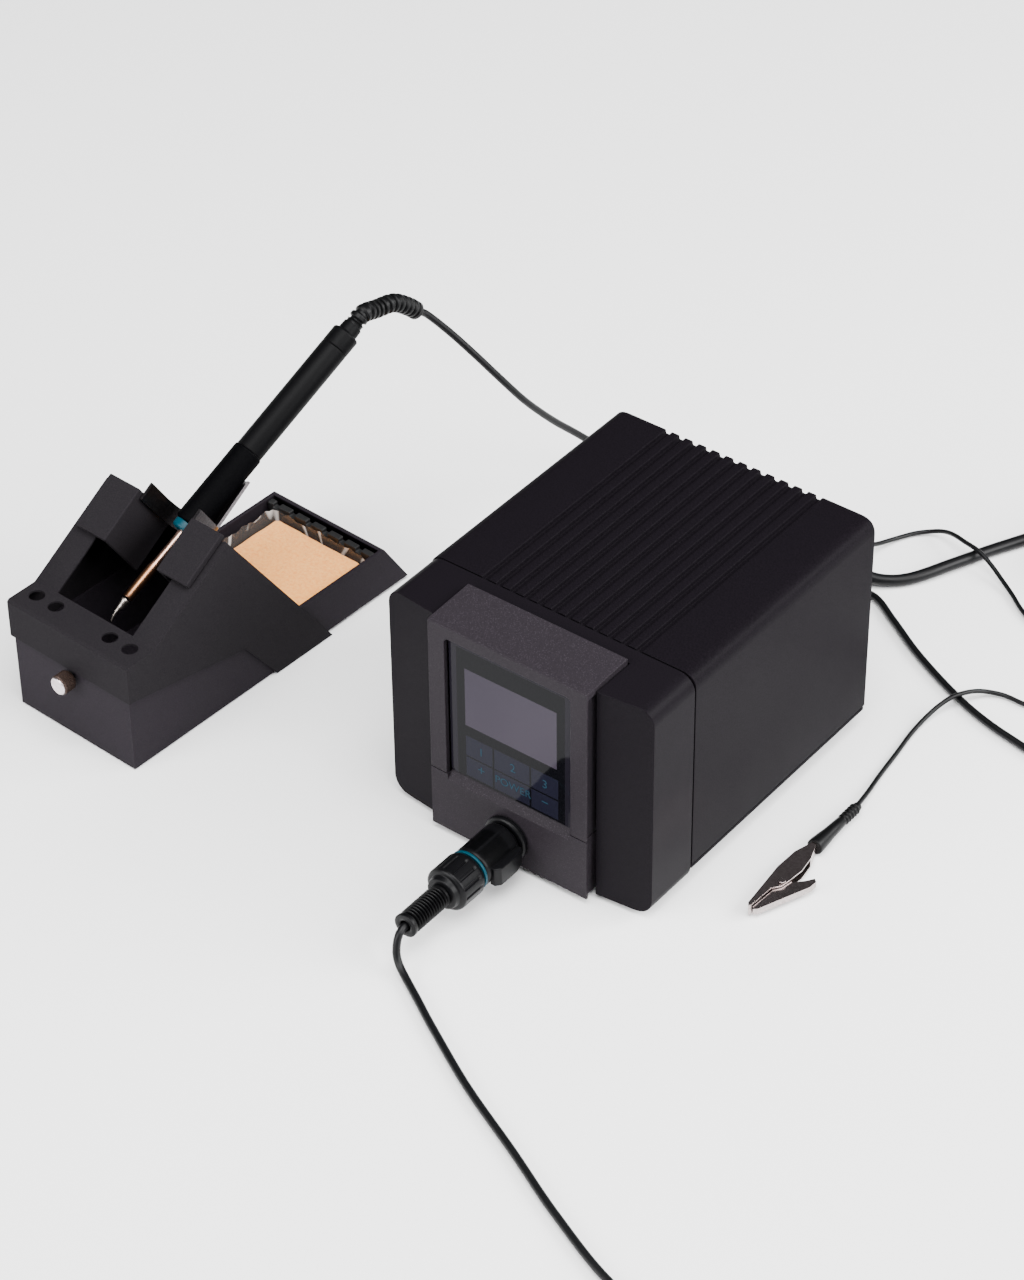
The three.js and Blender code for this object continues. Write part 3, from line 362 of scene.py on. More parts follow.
# Dyed nylon of the plug's ring and the iron's collar: deep teal, half gloss.
TEAL_NYLON = speckled_skin("moulded_teal_nylon", "#00303c", "#013a48", 0.42, 0.6, 0.006, level=0.2)
# Rubber of the feet: dull, a little greyer than the leads.
FOOT_RUBBER = speckled_skin("moulded_foot_rubber", "#0e0e0f", "#171617", 0.75, 0.8, 0.02)
# Nickel plate of the clip's jaws: warm pale metal, half bright.
NICKEL = speckled_skin("nickel_plated_steel", "#9d9391", "#b9afad", 0.24, 0.9, 0.004, metallic=1.0)
# Blackened spring steel of the cradle: dark, with a bright glint along its cut edges.
BLUED_STEEL = speckled_skin("blued_spring_steel", "#3a3739", "#4c484a", 0.34, 0.8, 0.006, metallic=1.0)
# Transformer laminations, varnished: brown grey with a dull sheen.
CORE_STEEL = speckled_skin("laminated_core_steel", "#4a4542", "#655e59", 0.55, 0.6, 0.02, metallic=0.8)
# Transformer winding: reddish brown enamel over copper.
COPPER_WIRE = speckled_skin("enamelled_copper_wire", "#8f4c26", "#b0683a", 0.4, 0.8, 0.03, metallic=0.7)
# Circuit boards: dark green lacquer, smooth.
SOLDER_MASK = speckled_skin("green_solder_mask", "#123c27", "#1d5436", 0.35, 1.4, 0.02)
# Heatsink: bare aluminium, pale and brushed by its die.
EXTRUDED_FINS = speckled_skin("extruded_aluminium_fins", "#8b8b8f", "#a6a6aa", 0.38, 0.8, 0.008, metallic=1.0)
# Wiper strip of the tray, cut from black rubber sheet: matt.
WIPER_RUBBER = speckled_skin("cut_black_rubber", "#060607", "#0d0d0e", 0.6, 0.8, 0.015)


def printed_acrylic():
    """Acrylic window, gloss, printed black on its back.

    The panel shows grey through a clear part, and the key fields are a shade lighter than the border.
    Distances are x and z in mm.
    """
    material, tree, shader, where = new_finish(
        "back_printed_acrylic", Roughness=0.06, **{"Specular IOR Level": 0.07})
    split = node(tree, "ShaderNodeSeparateXYZ", {"Vector": where})

    def within(axis, low, high, soft=0.12):
        """1 between two planes across an axis, 0 outside, with an edge of the softness in mm."""
        offset = SHIFT[0] if axis == "X" else 0.0
        up = node(tree, "ShaderNodeMapRange", {
            "Value": split.outputs[axis], "From Min": (low + offset - soft) * MM,
            "From Max": (low + offset) * MM})
        down = node(tree, "ShaderNodeMapRange", {
            "Value": split.outputs[axis], "From Min": (high + offset + soft) * MM,
            "From Max": (high + offset) * MM})
        return product(up.outputs["Result"], down.outputs["Result"])

    def product(first, second):
        """1 where both masks are 1."""
        return node(tree, "ShaderNodeMath", {0: first, 1: second}, operation="MULTIPLY").outputs[0]

    def field(x0, x1, z0, z1):
        """1 in a rectangle of the window, 0 outside it."""
        return product(within("X", x0, x1), within("Z", z0, z1))

    colour = mixed(tree, field(-25.6, 25.6, 32.5, 95.2), linear("#16141a"), linear("#08080b"))
    for x0, x1 in ((-21.6, -9.0), (-8.0, 8.7), (9.7, 22.4)):
        for z0, z1 in ((43.6, 53.2), (33.6, 42.7)):
            colour = mixed(tree, field(x0, x1, z0, z1), colour, linear("#15151f"))
    glow = node(tree, "ShaderNodeTexNoise", {"Vector": where, "Scale": 1000 / 60, "Detail": 1.0})
    panel = tint(tree, glow.outputs["Fac"], "#2b2730", "#353039", 0.2, 0.8)
    colour = mixed(tree, field(-21.7, 21.7, 58.5, 86.1), colour, panel)
    tree.links.new(colour, shader.inputs["Base Color"])
    return material


def cellulose_foam():
    """Dry pressed cellulose sponge: warm orange, cut flat, open pores of about half a millimetre to two,
    darkened by painted shade.
    """
    material, tree, shader, where = new_finish(
        "cut_cellulose_foam", Roughness=0.92, **{"Sheen Weight": 0.25, "Sheen Roughness": 0.5})
    fibre = node(tree, "ShaderNodeTexNoise",
        {"Vector": where, "Scale": 1000 / 1.4, "Detail": 5.0, "Roughness": 0.7})
    pores = node(tree, "ShaderNodeTexVoronoi", {"Vector": where, "Scale": 1000 / 1.3})
    drift = node(tree, "ShaderNodeTexNoise", {"Vector": where, "Scale": 1000 / 14, "Detail": 3.0})
    colour = tint(tree, fibre.outputs["Fac"], "#f28a34", "#ffba66", 0.3, 0.62)
    colour = mixed(tree, between(tree, drift.outputs["Fac"], 0.0, 0.4), colour, linear("#ffa94e"))
    hole = node(tree, "ShaderNodeMapRange", {
        "Value": pores.outputs["Distance"], "From Min": 0.10, "From Max": 0.26, "To Min": 0.55,
        "To Max": 0.0})
    some = node(tree, "ShaderNodeMath", {0: pores.outputs["Color"], 1: 0.72}, operation="GREATER_THAN")
    pore_depth_and_shade = node(tree, "ShaderNodeMath", {0: hole.outputs["Result"], 1: some.outputs[0]},
        operation="MULTIPLY")
    # Painted shade: the open pores are tinted a darker orange, standing for the shade in their hollows.
    colour = mixed(tree, pore_depth_and_shade.outputs[0], colour, linear("#c27a3c"))
    tree.links.new(colour, shader.inputs["Base Color"])
    relief = node(tree, "ShaderNodeMath", {0: fibre.outputs["Fac"], 1: pore_depth_and_shade.outputs[0]},
        operation="SUBTRACT")
    bump = node(tree, "ShaderNodeBump", {"Height": relief.outputs[0], "Distance": 0.25 * MM})
    tree.links.new(bump.outputs["Normal"], shader.inputs["Normal"])
    return material


def heat_tinted_steel(start, axis):
    """Drawn steel tube browned by heat: straw bronze near the tip, pinker towards the handle.

    The tint follows the distance along the iron's axis; the gloss varies in small blotches.
    """
    material, tree, shader, where = new_finish("heat_tinted_steel", Metallic=1.0)
    offset = node(tree, "ShaderNodeVectorMath", {0: where, 1: tuple(place(start))}, operation="SUBTRACT")
    run = node(tree, "ShaderNodeVectorMath", {0: offset.outputs[0], 1: tuple(axis)}, operation="DOT_PRODUCT")
    share = node(tree, "ShaderNodeMapRange",
        {"Value": run.outputs["Value"], "From Min": 0.0, "From Max": 38 * MM})
    blotch = node(tree, "ShaderNodeTexNoise", {"Vector": where, "Scale": 1000 / 3.5, "Detail": 4.0})
    spread = node(tree, "ShaderNodeMath", {
        0: share.outputs["Result"], 1: between(tree, blotch.outputs["Fac"], -0.12, 0.12)}, operation="ADD")
    ramp = node(tree, "ShaderNodeValToRGB", {"Fac": spread.outputs[0]})
    stops = ramp.color_ramp.elements
    stops[0].position, stops[0].color = 0.0, linear("#3a2c26")
    stops[1].position, stops[1].color = 1.0, linear("#c6a798")
    for position, colour in ((0.05, "#8a6247"), (0.2, "#b07f5d"), (0.42, "#a8795c"), (0.56, "#caa08c")):
        stops.new(position).color = linear(colour)
    tree.links.new(ramp.outputs["Color"], shader.inputs["Base Color"])
    tree.links.new(between(tree, blotch.outputs["Fac"], 0.22, 0.38), shader.inputs["Roughness"])
    return material


def turned_face(centre, axis):
    """Nickel-plated brass turned on a lathe: rings of tool marks about its axis, every 0.35 mm."""
    material, tree, shader, where = new_finish("turned_nickel_brass", Metallic=1.0)
    offset = node(tree, "ShaderNodeVectorMath", {0: where, 1: tuple(place(centre))}, operation="SUBTRACT")
    across = node(tree, "ShaderNodeVectorMath", {0: offset.outputs[0], 1: tuple(axis)},
        operation="CROSS_PRODUCT")
    away = node(tree, "ShaderNodeVectorMath", {0: across.outputs[0]}, operation="LENGTH")
    marks = node(tree, "ShaderNodeMath", {0: away.outputs["Value"], 1: TAU / (0.35 * MM)},
        operation="MULTIPLY")
    rings = node(tree, "ShaderNodeMath", {0: marks.outputs[0]}, operation="SINE")
    wear = node(tree, "ShaderNodeTexNoise", {"Vector": where, "Scale": 1000 / 1.6, "Detail": 3.0})
    tree.links.new(tint(tree, wear.outputs["Fac"], "#c9bdbf", "#e6dcde"), shader.inputs["Base Color"])
    tree.links.new(between(tree, wear.outputs["Fac"], 0.24, 0.36), shader.inputs["Roughness"])
    bump = node(tree, "ShaderNodeBump", {"Height": rings.outputs[0], "Distance": 0.004 * MM, "Strength": 0.6})
    tree.links.new(bump.outputs["Normal"], shader.inputs["Normal"])
    return material


def clear_film():
    """Thin clear polypropylene wrap: nearly colourless, with painted highlights as pale streaks along its
    folds' edges.
    """
    material, tree, shader, where = new_finish("crumpled_clear_film", Roughness=0.08, Alpha=0.5)
    crumple = node(tree, "ShaderNodeTexWave", {
        "Vector": where, "Scale": 1000 / 40, "Distortion": 11.0, "Detail": 2.0, "Detail Scale": 1.5})
    crease_relief_and_highlight = node(tree, "ShaderNodeMapRange", {
        "Value": crumple.outputs["Fac"], "From Min": 0.75, "From Max": 1.0, "To Min": 0.0, "To Max": 1.0})
    # Painted highlights: the crease mask turns the film's colour from dark grey to near white along its
    # folds, and the same mask raises them in the bump.
    colour = tint(tree, crease_relief_and_highlight.outputs["Result"], "#57524f", "#fffaf4", 0.1, 0.95)
    tree.links.new(colour, shader.inputs["Base Color"])
    bump = node(tree, "ShaderNodeBump", {"Height": crease_relief_and_highlight.outputs["Result"], "Distance": 0.5 * MM})
    tree.links.new(bump.outputs["Normal"], shader.inputs["Normal"])
    return material


def tinned_tip():
    """Iron-plated copper bit wetted with solder: mid-grey metal with dull patches of oxide."""
    material, tree, shader, where = new_finish("tinned_iron_plate", Metallic=1.0)
    patch = node(tree, "ShaderNodeTexNoise", {"Vector": where, "Scale": 1000 / 1.6, "Detail": 4.0})
    colour = tint(tree, patch.outputs["Fac"], "#6d625c", "#c7bdb6", 0.3, 0.6)
    tree.links.new(colour, shader.inputs["Base Color"])
    tree.links.new(between(tree, patch.outputs["Fac"], 0.2, 0.45), shader.inputs["Roughness"])
    return material


ACRYLIC = printed_acrylic()
FOAM = cellulose_foam()
FILM = clear_film()
TINNED = tinned_tip()
# Knurled brass rim, chemically browned: dark between the ridges.
BROWNED_KNURL = speckled_skin("browned_knurled_brass", "#241b18", "#4a3a33", 0.42, 0.5, 0.01, metallic=0.7)
# Silk-screened key legends: matt blue ink.
KEY_INK = speckled_skin("screen_printed_ink", "#0c2733", "#102f3d", 0.5, 0.5, 0.002, level=0.1)
# Liquid crystal glass behind the window.
PANEL_GLASS = speckled_skin("liquid_crystal_glass", "#57525f", "#625c6a", 0.2, 2.0, 0.001)
# Ground jack: plated brass, slightly tarnished.
PLATED_BRASS = speckled_skin("plated_brass_jack", "#8d8480", "#b3aaa4", 0.26, 0.9, 0.004, metallic=1.0)


# ------------------------------------------------------------------ cords
IRON_CORD_D, MAINS_CORD_D, GROUND_CORD_D = 3.2, 5.2, 2.0
IRON_ROUTE = [
    (-161.3, 141.9, 110.7), (-160.2, 146.0, 107.8), (-154.1, 154.4, 96.0), (-146.6, 161.6, 83.6),
    (-139.6, 169.2, 70.4), (-134.6, 177.2, 58.0), (-131.6, 185.4, 47.8), (-129.0, 193.8, 38.4),
    (-125.6, 203.0, 29.0), (-119.6, 212.4, 18.6), (-109.0, 220.6, 8.8), (-92.0, 226.4, 3.0),
    (-68.0, 227.4, 1.9), (-38.0, 219.4, 1.9), (-14.0, 213.0, 1.9), (6.0, 212.6, 1.9), (21.0, 215.0, 1.9),
    (36.4, 206.5, 1.9),
    (53.2, 196.0, 1.9), (67.2, 188.5, 1.9), (81.6, 181.7, 1.9), (94.2, 176.7, 1.9), (107.0, 173.0, 1.9),
    (122.9, 169.8, 1.9), (152.0, 163.4, 1.9), (186.0, 143.0, 1.9), (212.0, 108.0, 1.9), (238.0, 62.0, 1.9),
    (262.0, 14.0, 1.9), (282.0, -34.0, 1.9), (288.0, -84.0, 1.9), (272.0, -128.0, 1.9), (238.0, -156.0, 1.9),
    (198.0, -164.0, 1.9), (160.0, -157.0, 1.9), (126.0, -143.4, 1.9), (95.1, -128.3, 1.9),
    (62.4, -112.9, 1.9), (33.2, -96.6, 1.9), (19.9, -88.6, 1.9), (9.0, -82.2, 2.0), (3.8, -79.6, 3.8),
    (1.4, -78.2, 7.0), (0.5, -76.6, 10.6), (0.1, -74.8, 13.6), (0.0, -72.4, 14.9),
]
MAINS_ROUTE = [
    (-2.0, 193.5, 26.0), (-1.9, 199.3, 25.6), (-1.2, 205.0, 23.7), (0.1, 210.0, 20.6), (2.1, 213.9, 16.7),
    (4.9, 216.8, 12.4), (8.5, 218.9, 8.4), (12.9, 221.1, 5.4), (17.6, 223.9, 3.5), (23.4, 228.4, 2.8),
    (28.0, 233.8, 2.9), (31.5, 239.6, 3.3), (34.4, 246.0, 3.4), (37.2, 253.0, 3.2), (40.2, 260.4, 2.9),
    (43.6, 268.7, 2.8), (51.5, 284.7, 2.8), (59.0, 300.0, 2.8), (66.0, 315.0, 2.8),
]
MAINS_TAIL = [
    (147.0, 297.0, 2.8), (147.0, 290.4, 2.8), (149.5, 281.0, 3.6), (156.6, 272.6, 6.6), (167.2, 268.3, 11.6),
    (176.0, 268.0, 13.0),
]
GROUND_ROUTE = [
    (38.0, 172.6, 30.0), (37.6, 178.0, 29.8), (35.0, 187.6, 28.6), (29.0, 198.0, 26.2), (20.8, 207.6, 23.4),
    (12.6, 216.4, 20.0), (6.4, 224.8, 15.6), (3.6, 233.4, 9.6), (4.2, 242.4, 4.6), (6.6, 252.9, 2.0),
    (10.8, 261.8, 1.4), (16.2, 266.4, 2.2), (22.2, 267.0, 4.6), (28.4, 265.2, 6.8), (35.4, 262.9, 7.6),
    (43.1, 261.3, 7.4), (50.4, 259.3, 5.2), (57.6, 256.2, 3.0), (66.6, 251.1, 1.6), (77.4, 243.6, 1.3),
    (94.0, 236.0, 1.3), (112.0, 231.6, 1.3), (128.0, 230.8, 1.3), (140.0, 230.8, 1.3),
]
GROUND_TAIL = [
    (139.0, 197.0, 1.3), (131.0, 196.2, 1.3), (121.0, 194.6, 1.3), (108.4, 193.4, 1.3), (99.8, 193.2, 1.4),
    (94.0, 190.6, 2.2), (90.4, 186.4, 3.8), (87.8, 181.0, 5.2), (85.2, 175.2, 5.4), (82.9, 168.2, 3.8),
    (81.6, 160.0, 1.8), (82.1, 149.5, 1.3), (84.0, 136.6, 1.3), (86.0, 122.0, 1.4), (88.4, 110.0, 2.4),
    (90.2, 99.6, 3.4),
]
MAINS_COIL = {"centre": (105.0, 300.0), "radius": 28.6}
GROUND_COIL = {"centre": (141.0, 214.0), "radius": 12.0}
LEAST_TURNS = 5.7
SLOT_PITCH = 1.11
# The places of the turns in a coil's bundle, in cord diameters out and up from its middle.
TURN_SLOTS = SLOT_PITCH * np.array([
    (0.5, -0.87), (-0.5, -0.87), (-1, 0), (0, 0), (-0.5, 0.87), (0.5, 0.87), (1, 0)])


def coil_line(coil, diameter, start, end):
    """Clockwise turns about the coil's centre, one slot of the bundle after another.

    point = centre + (R + out) (cos a, sin a), with a falling steadily; out and z go from the start point to
    the first slot and from the last slot to the end point in a bit under a third of a turn each.
    """
    centre, radius = np.array(coil["centre"]), coil["radius"]
    reach = np.radians(110)
    a_in = np.arctan2(start[1] - centre[1], start[0] - centre[0])
    a_out = np.arctan2(end[1] - centre[1], end[0] - centre[0])
    least = LEAST_TURNS * TAU
    turned_by = least + (a_in - a_out - 2 * reach - least) % TAU
    progress = np.linspace(-reach, turned_by + reach, 900)
    step, cross = np.radians(335), np.radians(100)
    slots = TURN_SLOTS * diameter
    where = np.clip((progress + cross - step * np.arange(1, 7)[:, None]) / cross, 0, 1)
    where = where ** 2 * (3 - 2 * where)
    offset = slots[0] + np.einsum("kn,kc->nc", where, np.diff(slots, axis=0))
    middle = diameter / 2 * np.sqrt(6.5 / 0.62) + 0.2 - 0.1 * diameter
    out, height = radius + offset[:, 0], middle + offset[:, 1]
    for point, share in ((start, 1 + progress / reach), (end, 1 - (progress - turned_by) / reach)):
        far = np.hypot(point[0] - centre[0], point[1] - centre[1])
        wide = np.clip(share / 0.92, 0, 1)
        wide = wide ** 2 * (3 - 2 * wide)
        low = np.clip((share - 0.08) / 0.7, 0, 1)
        low = low ** 2 * (3 - 2 * low)
        out = far + (out - far) * wide
        height = point[2] + (height - point[2]) * low
    angle = a_in - reach - progress
    return np.stack([centre[0] + out * np.cos(angle), centre[1] + out * np.sin(angle), height], axis=1)


def lay_cord(name, line, diameter, nodes, spacing):
    """A round jacket along the line, in even steps of about the spacing, that takes the place of the frame's
    cord solids.
    """
    line = even(line, int(length_of(line) / spacing))
    points, faces = tube_grid(line, diameter / 2, 12)
    cord = make_mesh(name, points, faces, JACKET, "station")
    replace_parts(cord, *nodes)
    return cord


# ------------------------------------------------------------------ turned and swept pieces
def turned_piece(name, profile, origin, axis, material, body, around=72, wave=None, angle=38):
    """A lathe body from (radius, distance) rows, closed on its axis."""
    points, faces = lathe_grid(np.asarray(profile, float), origin, axis, around, wave)
    return make_mesh(name, points, faces, material, body, smooth_angle=angle)


def ribbed_profile(start, end, count, low, high, share=0.55):
    """count round ribs between two distances: each rib is a half wave of the given share of the pitch."""
    pitch = (end - start) / count
    t = np.linspace(0, 1, 9)
    rib = low + (high - low) * np.sin(np.pi * np.clip(t / share, 0, 1)) ** 0.6
    along = start + pitch * (np.arange(count)[:, None] + t[None, :] * 0.98)
    return np.stack([np.broadcast_to(rib, along.shape).ravel(), along.ravel()], axis=1)


def plug_pieces():
    """Barrel, teal ring, ribbed nut and strain relief of the iron's plug, turned about its axis along -y."""
    def on_plug(name, profile, material, node_name, around, wave=None):
        """A turned piece about the plug's axis that replaces a frame solid."""
        at, out = (0.0, 0.0, 15.0), (0.0, -1.0, 0.0)
        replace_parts(turned_piece(name, profile, at, out, material, "station", around, wave), node_name)

    barrel = eased([(0, -4.4), (5.7, -4.4), (5.7, 10.9), (7.7, 10.9), (8.6, 12.2), (8.6, 16.0), (8.6, 30.4),
                    (7.9, 31.3), (0, 31.3)], 0.6)
    flutes = lambda t, a: -0.22 * (np.abs(np.sin(3 * a + 0.5)) > 0.985) * (t > 13) * (t < 29)
    fluted = np.stack([np.full(12, 8.6), np.linspace(16.5, 29.5, 12)], 1)
    barrel = np.vstack([barrel[:-8], fluted, barrel[-8:]])
    on_plug("plug_barrel_body", barrel, MOULDED_NYLON, "plug_barrel", 180, flutes)
    ring = eased([(0, 31.55), (8.75, 31.55), (8.75, 32.65), (0, 32.65)], 0.25)
    on_plug("plug_colour_ring", ring, TEAL_NYLON, "plug_ring", 96)
    body = np.stack([np.full(26, 9.35), np.linspace(36.2, 45.4, 26)], 1)
    nut = np.vstack([eased([(0, 33.0), (8.5, 33.0), (9.35, 34.6), (9.35, 36.2)], 0.5), body,
                     eased([(9.35, 45.4), (9.2, 46.0), (8.3, 46.6), (7.2, 46.7), (6.8, 49.0), (6.0, 49.2),
                            (0, 49.2)], 0.4)])

    def slots(t, a):
        """Fourteen lengthwise slots, 0.6 mm deep, with round ends."""
        across = np.abs((a * 14 / TAU + 0.5) % 1 - 0.5) * TAU / 14 * 9.35
        ends = np.clip((t - 36.0) / 0.5, 0, 1) * np.clip((45.2 - t) / 0.5, 0, 1)
        return -0.6 * np.clip((0.62 - across) / 0.2, 0, 1) * ends

    on_plug("plug_nut_body", nut, MOULDED_NYLON, "plug_nut", 336, slots)
    ribs = ribbed_profile(51.2, 68.4, 12, 3.55, 4.95)
    sleeve = np.vstack([[(0, 49.6), (4.7, 49.6), (4.7, 50.6), (4.0, 50.9)], ribs,
                        eased([(3.9, 68.6), (5.0, 69.0), (5.1, 71.0), (3.4, 71.2), (2.3, 70.8), (2.1, 67.5),
                               (0, 67.5)], 0.4)])
    on_plug("plug_strain_relief", sleeve, SOFT_PVC, "plug_boot", 48)


IRON_START = np.array((-186.53, -15.58, 47.58))
IRON_AXIS = unit(np.array((-166.62, 102.29, 119.30)) - IRON_START)


def iron_pieces():
    """Tip, cartridge, collar, grip, barrel, cap and boot, turned about the iron's axis."""
    def on_iron(name, profile, material, node_name, around=72, wave=None):
        """A turned piece about the iron's axis that replaces a frame solid."""
        piece = turned_piece(name, profile, IRON_START, IRON_AXIS, material, "iron", around, wave)
        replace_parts(piece, node_name)
        return piece

    side = unit(np.cross(IRON_AXIS, (0, 0, 1)))
    bent = np.array([IRON_START + IRON_AXIS * t + side * s - np.array((0, 0, d)) for t, s, d in (
        (-0.6, 0, 0), (-2.0, 0, 0), (-4.0, 0, 0), (-6.0, 0, 0), (-7.4, 0, 0.05), (-8.6, 0.1, 0.25),
        (-9.6, 0.2, 0.65), (-10.5, 0.3, 1.15))])
    line = spline(bent, 40)
    share = np.linspace(0, 1, 40)
    radius = np.interp(share, [0, 0.08, 0.12, 0.62, 0.94, 1], [1.9, 1.9, 1.72, 0.72, 0.42, 0.2])
    points, faces = tube_grid(line, radius, 24)
    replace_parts(make_mesh("tip_cone", points, faces, TINNED, "iron"), "iron_tip")
    steel = heat_tinted_steel(IRON_START, IRON_AXIS)
    rod = eased([(0, 0.1), (2.0, 0.1), (2.2, 0.6), (2.2, 16.2), (1.66, 18.6), (1.66, 62), (0, 62)], 0.6, 5)
    on_iron("cartridge_tube", rod, steel, "iron_cartridge", 48)
    collar = eased([(0, 34.8), (4.7, 34.8), (5.4, 35.6), (5.4, 38.5), (0, 38.5)], 0.4)
    on_iron("teal_collar", collar, TEAL_NYLON, "iron_collar")
    grip = eased([(0, 38.7), (5.8, 38.7), (6.35, 39.6), (6.35, 76.4), (6.0, 77.0), (0, 77.0)], 0.5)
    on_iron("silicone_grip", grip, SILICONE, "iron_grip")
    barrel = eased([(0, 77.1), (5.9, 77.1), (5.9, 131.5), (5.7, 131.7), (0, 131.7)], 0.2)
    on_iron("handle_barrel", barrel, PPS_BARREL, "iron_barrel")
    cap = eased([(0, 131.8), (5.7, 131.8), (5.9, 132.1), (5.9, 138.9), (5.55, 139.5), (4.3, 139.9),
                 (4.1, 143.8), (0, 143.8)], 0.3)
    on_iron("handle_cap", cap, PPS_BARREL, "iron_cap")
    knots = np.array([IRON_START + IRON_AXIS * 143.4, IRON_START + IRON_AXIS * 150, (-164.9, 119.6, 122.8),
                      (-163.5, 128.6, 121.4), (-162.2, 136.0, 116.4), (-161.4, 141.0, 111.6)])
    line = spline(knots, 260)
    share = np.linspace(0, 1, 260)
    wave = np.clip(2.2 * np.abs(np.sin(np.pi * share * 14)) - 0.75, 0, 1)
    radius = 3.0 + 0.98 * wave
    radius = np.where(share < 0.05, 3.6, radius)
    radius = np.where(share > 0.945, 3.95, radius) * np.interp(share, [0, 0.985, 1], [1, 1, 0.9])
    points, faces = tube_grid(line, radius, 36)
    relief = make_mesh("handle_strain_relief", points, faces, SOFT_PVC, "iron")
    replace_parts(relief, "iron_boot")


# ------------------------------------------------------------------ housing
GROOVES, GROOVE_PITCH, COVER_TOP = 12, 6.57, 102.8


def cover_piece():
    """The cover's section, twelve grooves cut in its top, carried from the bezel's seam to the back."""
    centres = (np.arange(GROOVES) - (GROOVES - 1) / 2) * GROOVE_PITCH
    groove = np.array([(-1.5, 0.0), (-1.15, -1.7), (1.15, -1.7), (1.5, 0.0)])
    cuts = (np.stack([centres, np.full(GROOVES, COVER_TOP)], 1)[:, None] + groove[None]).reshape(-1, 2)
    outer = np.vstack([[(-62.5, 9.8), (-62.5, COVER_TOP)], cuts, [(62.5, COVER_TOP), (62.5, 9.8)]])
    inner = np.array([(60.7, 9.8), (60.7, 99.3), (-60.7, 99.3), (-60.7, 9.8)])
    reach = np.concatenate([[0.2, 6.8], np.full(4 * GROOVES, 0.35), [6.8, 0.2], [0.2, 4.0, 4.0, 0.2]])
    section = eased(np.vstack([outer, inner]), reach, 8, closed=True)
    points, faces = slab_grid(
        section, lambda p, y: np.stack([p[:, 0], np.full(len(p), y), p[:, 1]], 1), 26.3, 145.4)
    cover = make_mesh("cover_skin", points, faces, COATED_ALUMINIUM, "station",
        smooth_angle=50)
    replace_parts(cover, "cover_shell")
    bevelled(cover, 0.3, 2, 60)


def legend(name, text, x, z, size):
    """A printed key legend: flat letters stood up to face -y on the window."""
    curve = bpy.data.curves.new(name, "FONT")
    curve.body, curve.size, curve.align_x, curve.align_y = text, size, "CENTER", "CENTER"
    curve.extrude = 0.02
    holder = bpy.data.objects.new(name + "_text", curve)
    bpy.context.scene.collection.objects.link(holder)
    mesh = bpy.data.meshes.new_from_object(holder.evaluated_get(bpy.context.evaluated_depsgraph_get()))
    bpy.data.objects.remove(holder)
    flat = np.empty(len(mesh.vertices) * 3)
    mesh.vertices.foreach_get("co", flat)
    flat = flat.reshape(-1, 3)
    placed = np.stack([flat[:, 0] + x, -5.44 - flat[:, 2], flat[:, 1] + z], axis=1)
    mesh.vertices.foreach_set("co", place(placed).ravel())
    mesh.update()
    return dress(bpy.data.objects.new(name, mesh), KEY_INK, "station")


# Name, letters, middle across and up, and height of each legend.
LEGENDS = (
    ("legend_one", "1", -14.4, 48.0, 5.6), ("legend_two", "2", 0.8, 48.0, 5.6),
    ("legend_three", "3", 16.1, 48.0, 5.6), ("legend_plus", "+", -14.4, 38.8, 6.4),
    ("legend_minus", "−", 16.1, 38.8, 6.4), ("legend_power", "POWER", 0.8, 38.8, 5.0))
INSIDE_FINISHES = (
    ("lcd_module", PANEL_GLASS), ("key_board", SOLDER_MASK), ("control_board", SOLDER_MASK),
    ("main_board", SOLDER_MASK), ("transformer_core", CORE_STEEL), ("transformer_winding", COPPER_WIRE),
    ("heatsink", EXTRUDED_FINS))


def housing_pieces():
    """Cover, bezel, fascias, window with its legends, base, feet and the back's fittings."""
    cover_piece()
    cast_copy("front_bezel", SPARK_ABS, 0.7, 3)
    cast_copy("upper_fascia", FLAKE_LACQUER, 0.3, 2)
    cast_copy("lower_fascia", FLAKE_LACQUER, 0.3, 2)
    cast_copy("display_lens", ACRYLIC, 0.2, 2)
    for name, text, x, z, size in LEGENDS:
        legend(name, text, x, z, size)
    cast_copy("base_plate", COATED_ALUMINIUM, 0.2, 1)
    for foot in ("foot_front_left", "foot_front_right", "foot_back_left", "foot_back_right"):
        cast_copy(foot, FOOT_RUBBER, 0.3, 2)
    cast_copy("rear_panel", COATED_ALUMINIUM, 0.15, 1)
    for name in ("mains_inlet", "switch_frame", "switch_rocker", "fuse_cap", "iron_socket",
                 "mains_connector", "mains_plug", "banana_plug"):
        cast_copy(name, MOULDED_NYLON, 0.35, 2)
    cast_copy("plug_latch", MOULDED_NYLON, 0.5, 3)
    cast_copy("ground_jack", PLATED_BRASS, 0.2, 2)
    for name, material in INSIDE_FINISHES:
        wear(name, material)


def wear(name, material):
    """Gives a frame solid that keeps its shape the finish in every one of its slots."""
    for place_in in bpy.data.objects[name].material_slots:
        place_in.material = material


# ------------------------------------------------------------------ holder
HOLDER_AT, HOLDER_TURN = np.array((-185.49, -51.07, 0.0)), -0.0577
ACROSS = np.array((np.cos(HOLDER_TURN), np.sin(HOLDER_TURN), 0.0))
BACK = np.array((-np.sin(HOLDER_TURN), np.cos(HOLDER_TURN), 0.0))


def in_holder(points):
    """Holder coordinates (a across, b back, z up) to housing millimetres."""
    points = np.asarray(points, float)
    a, b, z = points[..., 0:1], points[..., 1:2], points[..., 2:3]
    return HOLDER_AT + a * ACROSS + b * BACK + z * np.array((0, 0, 1.0))


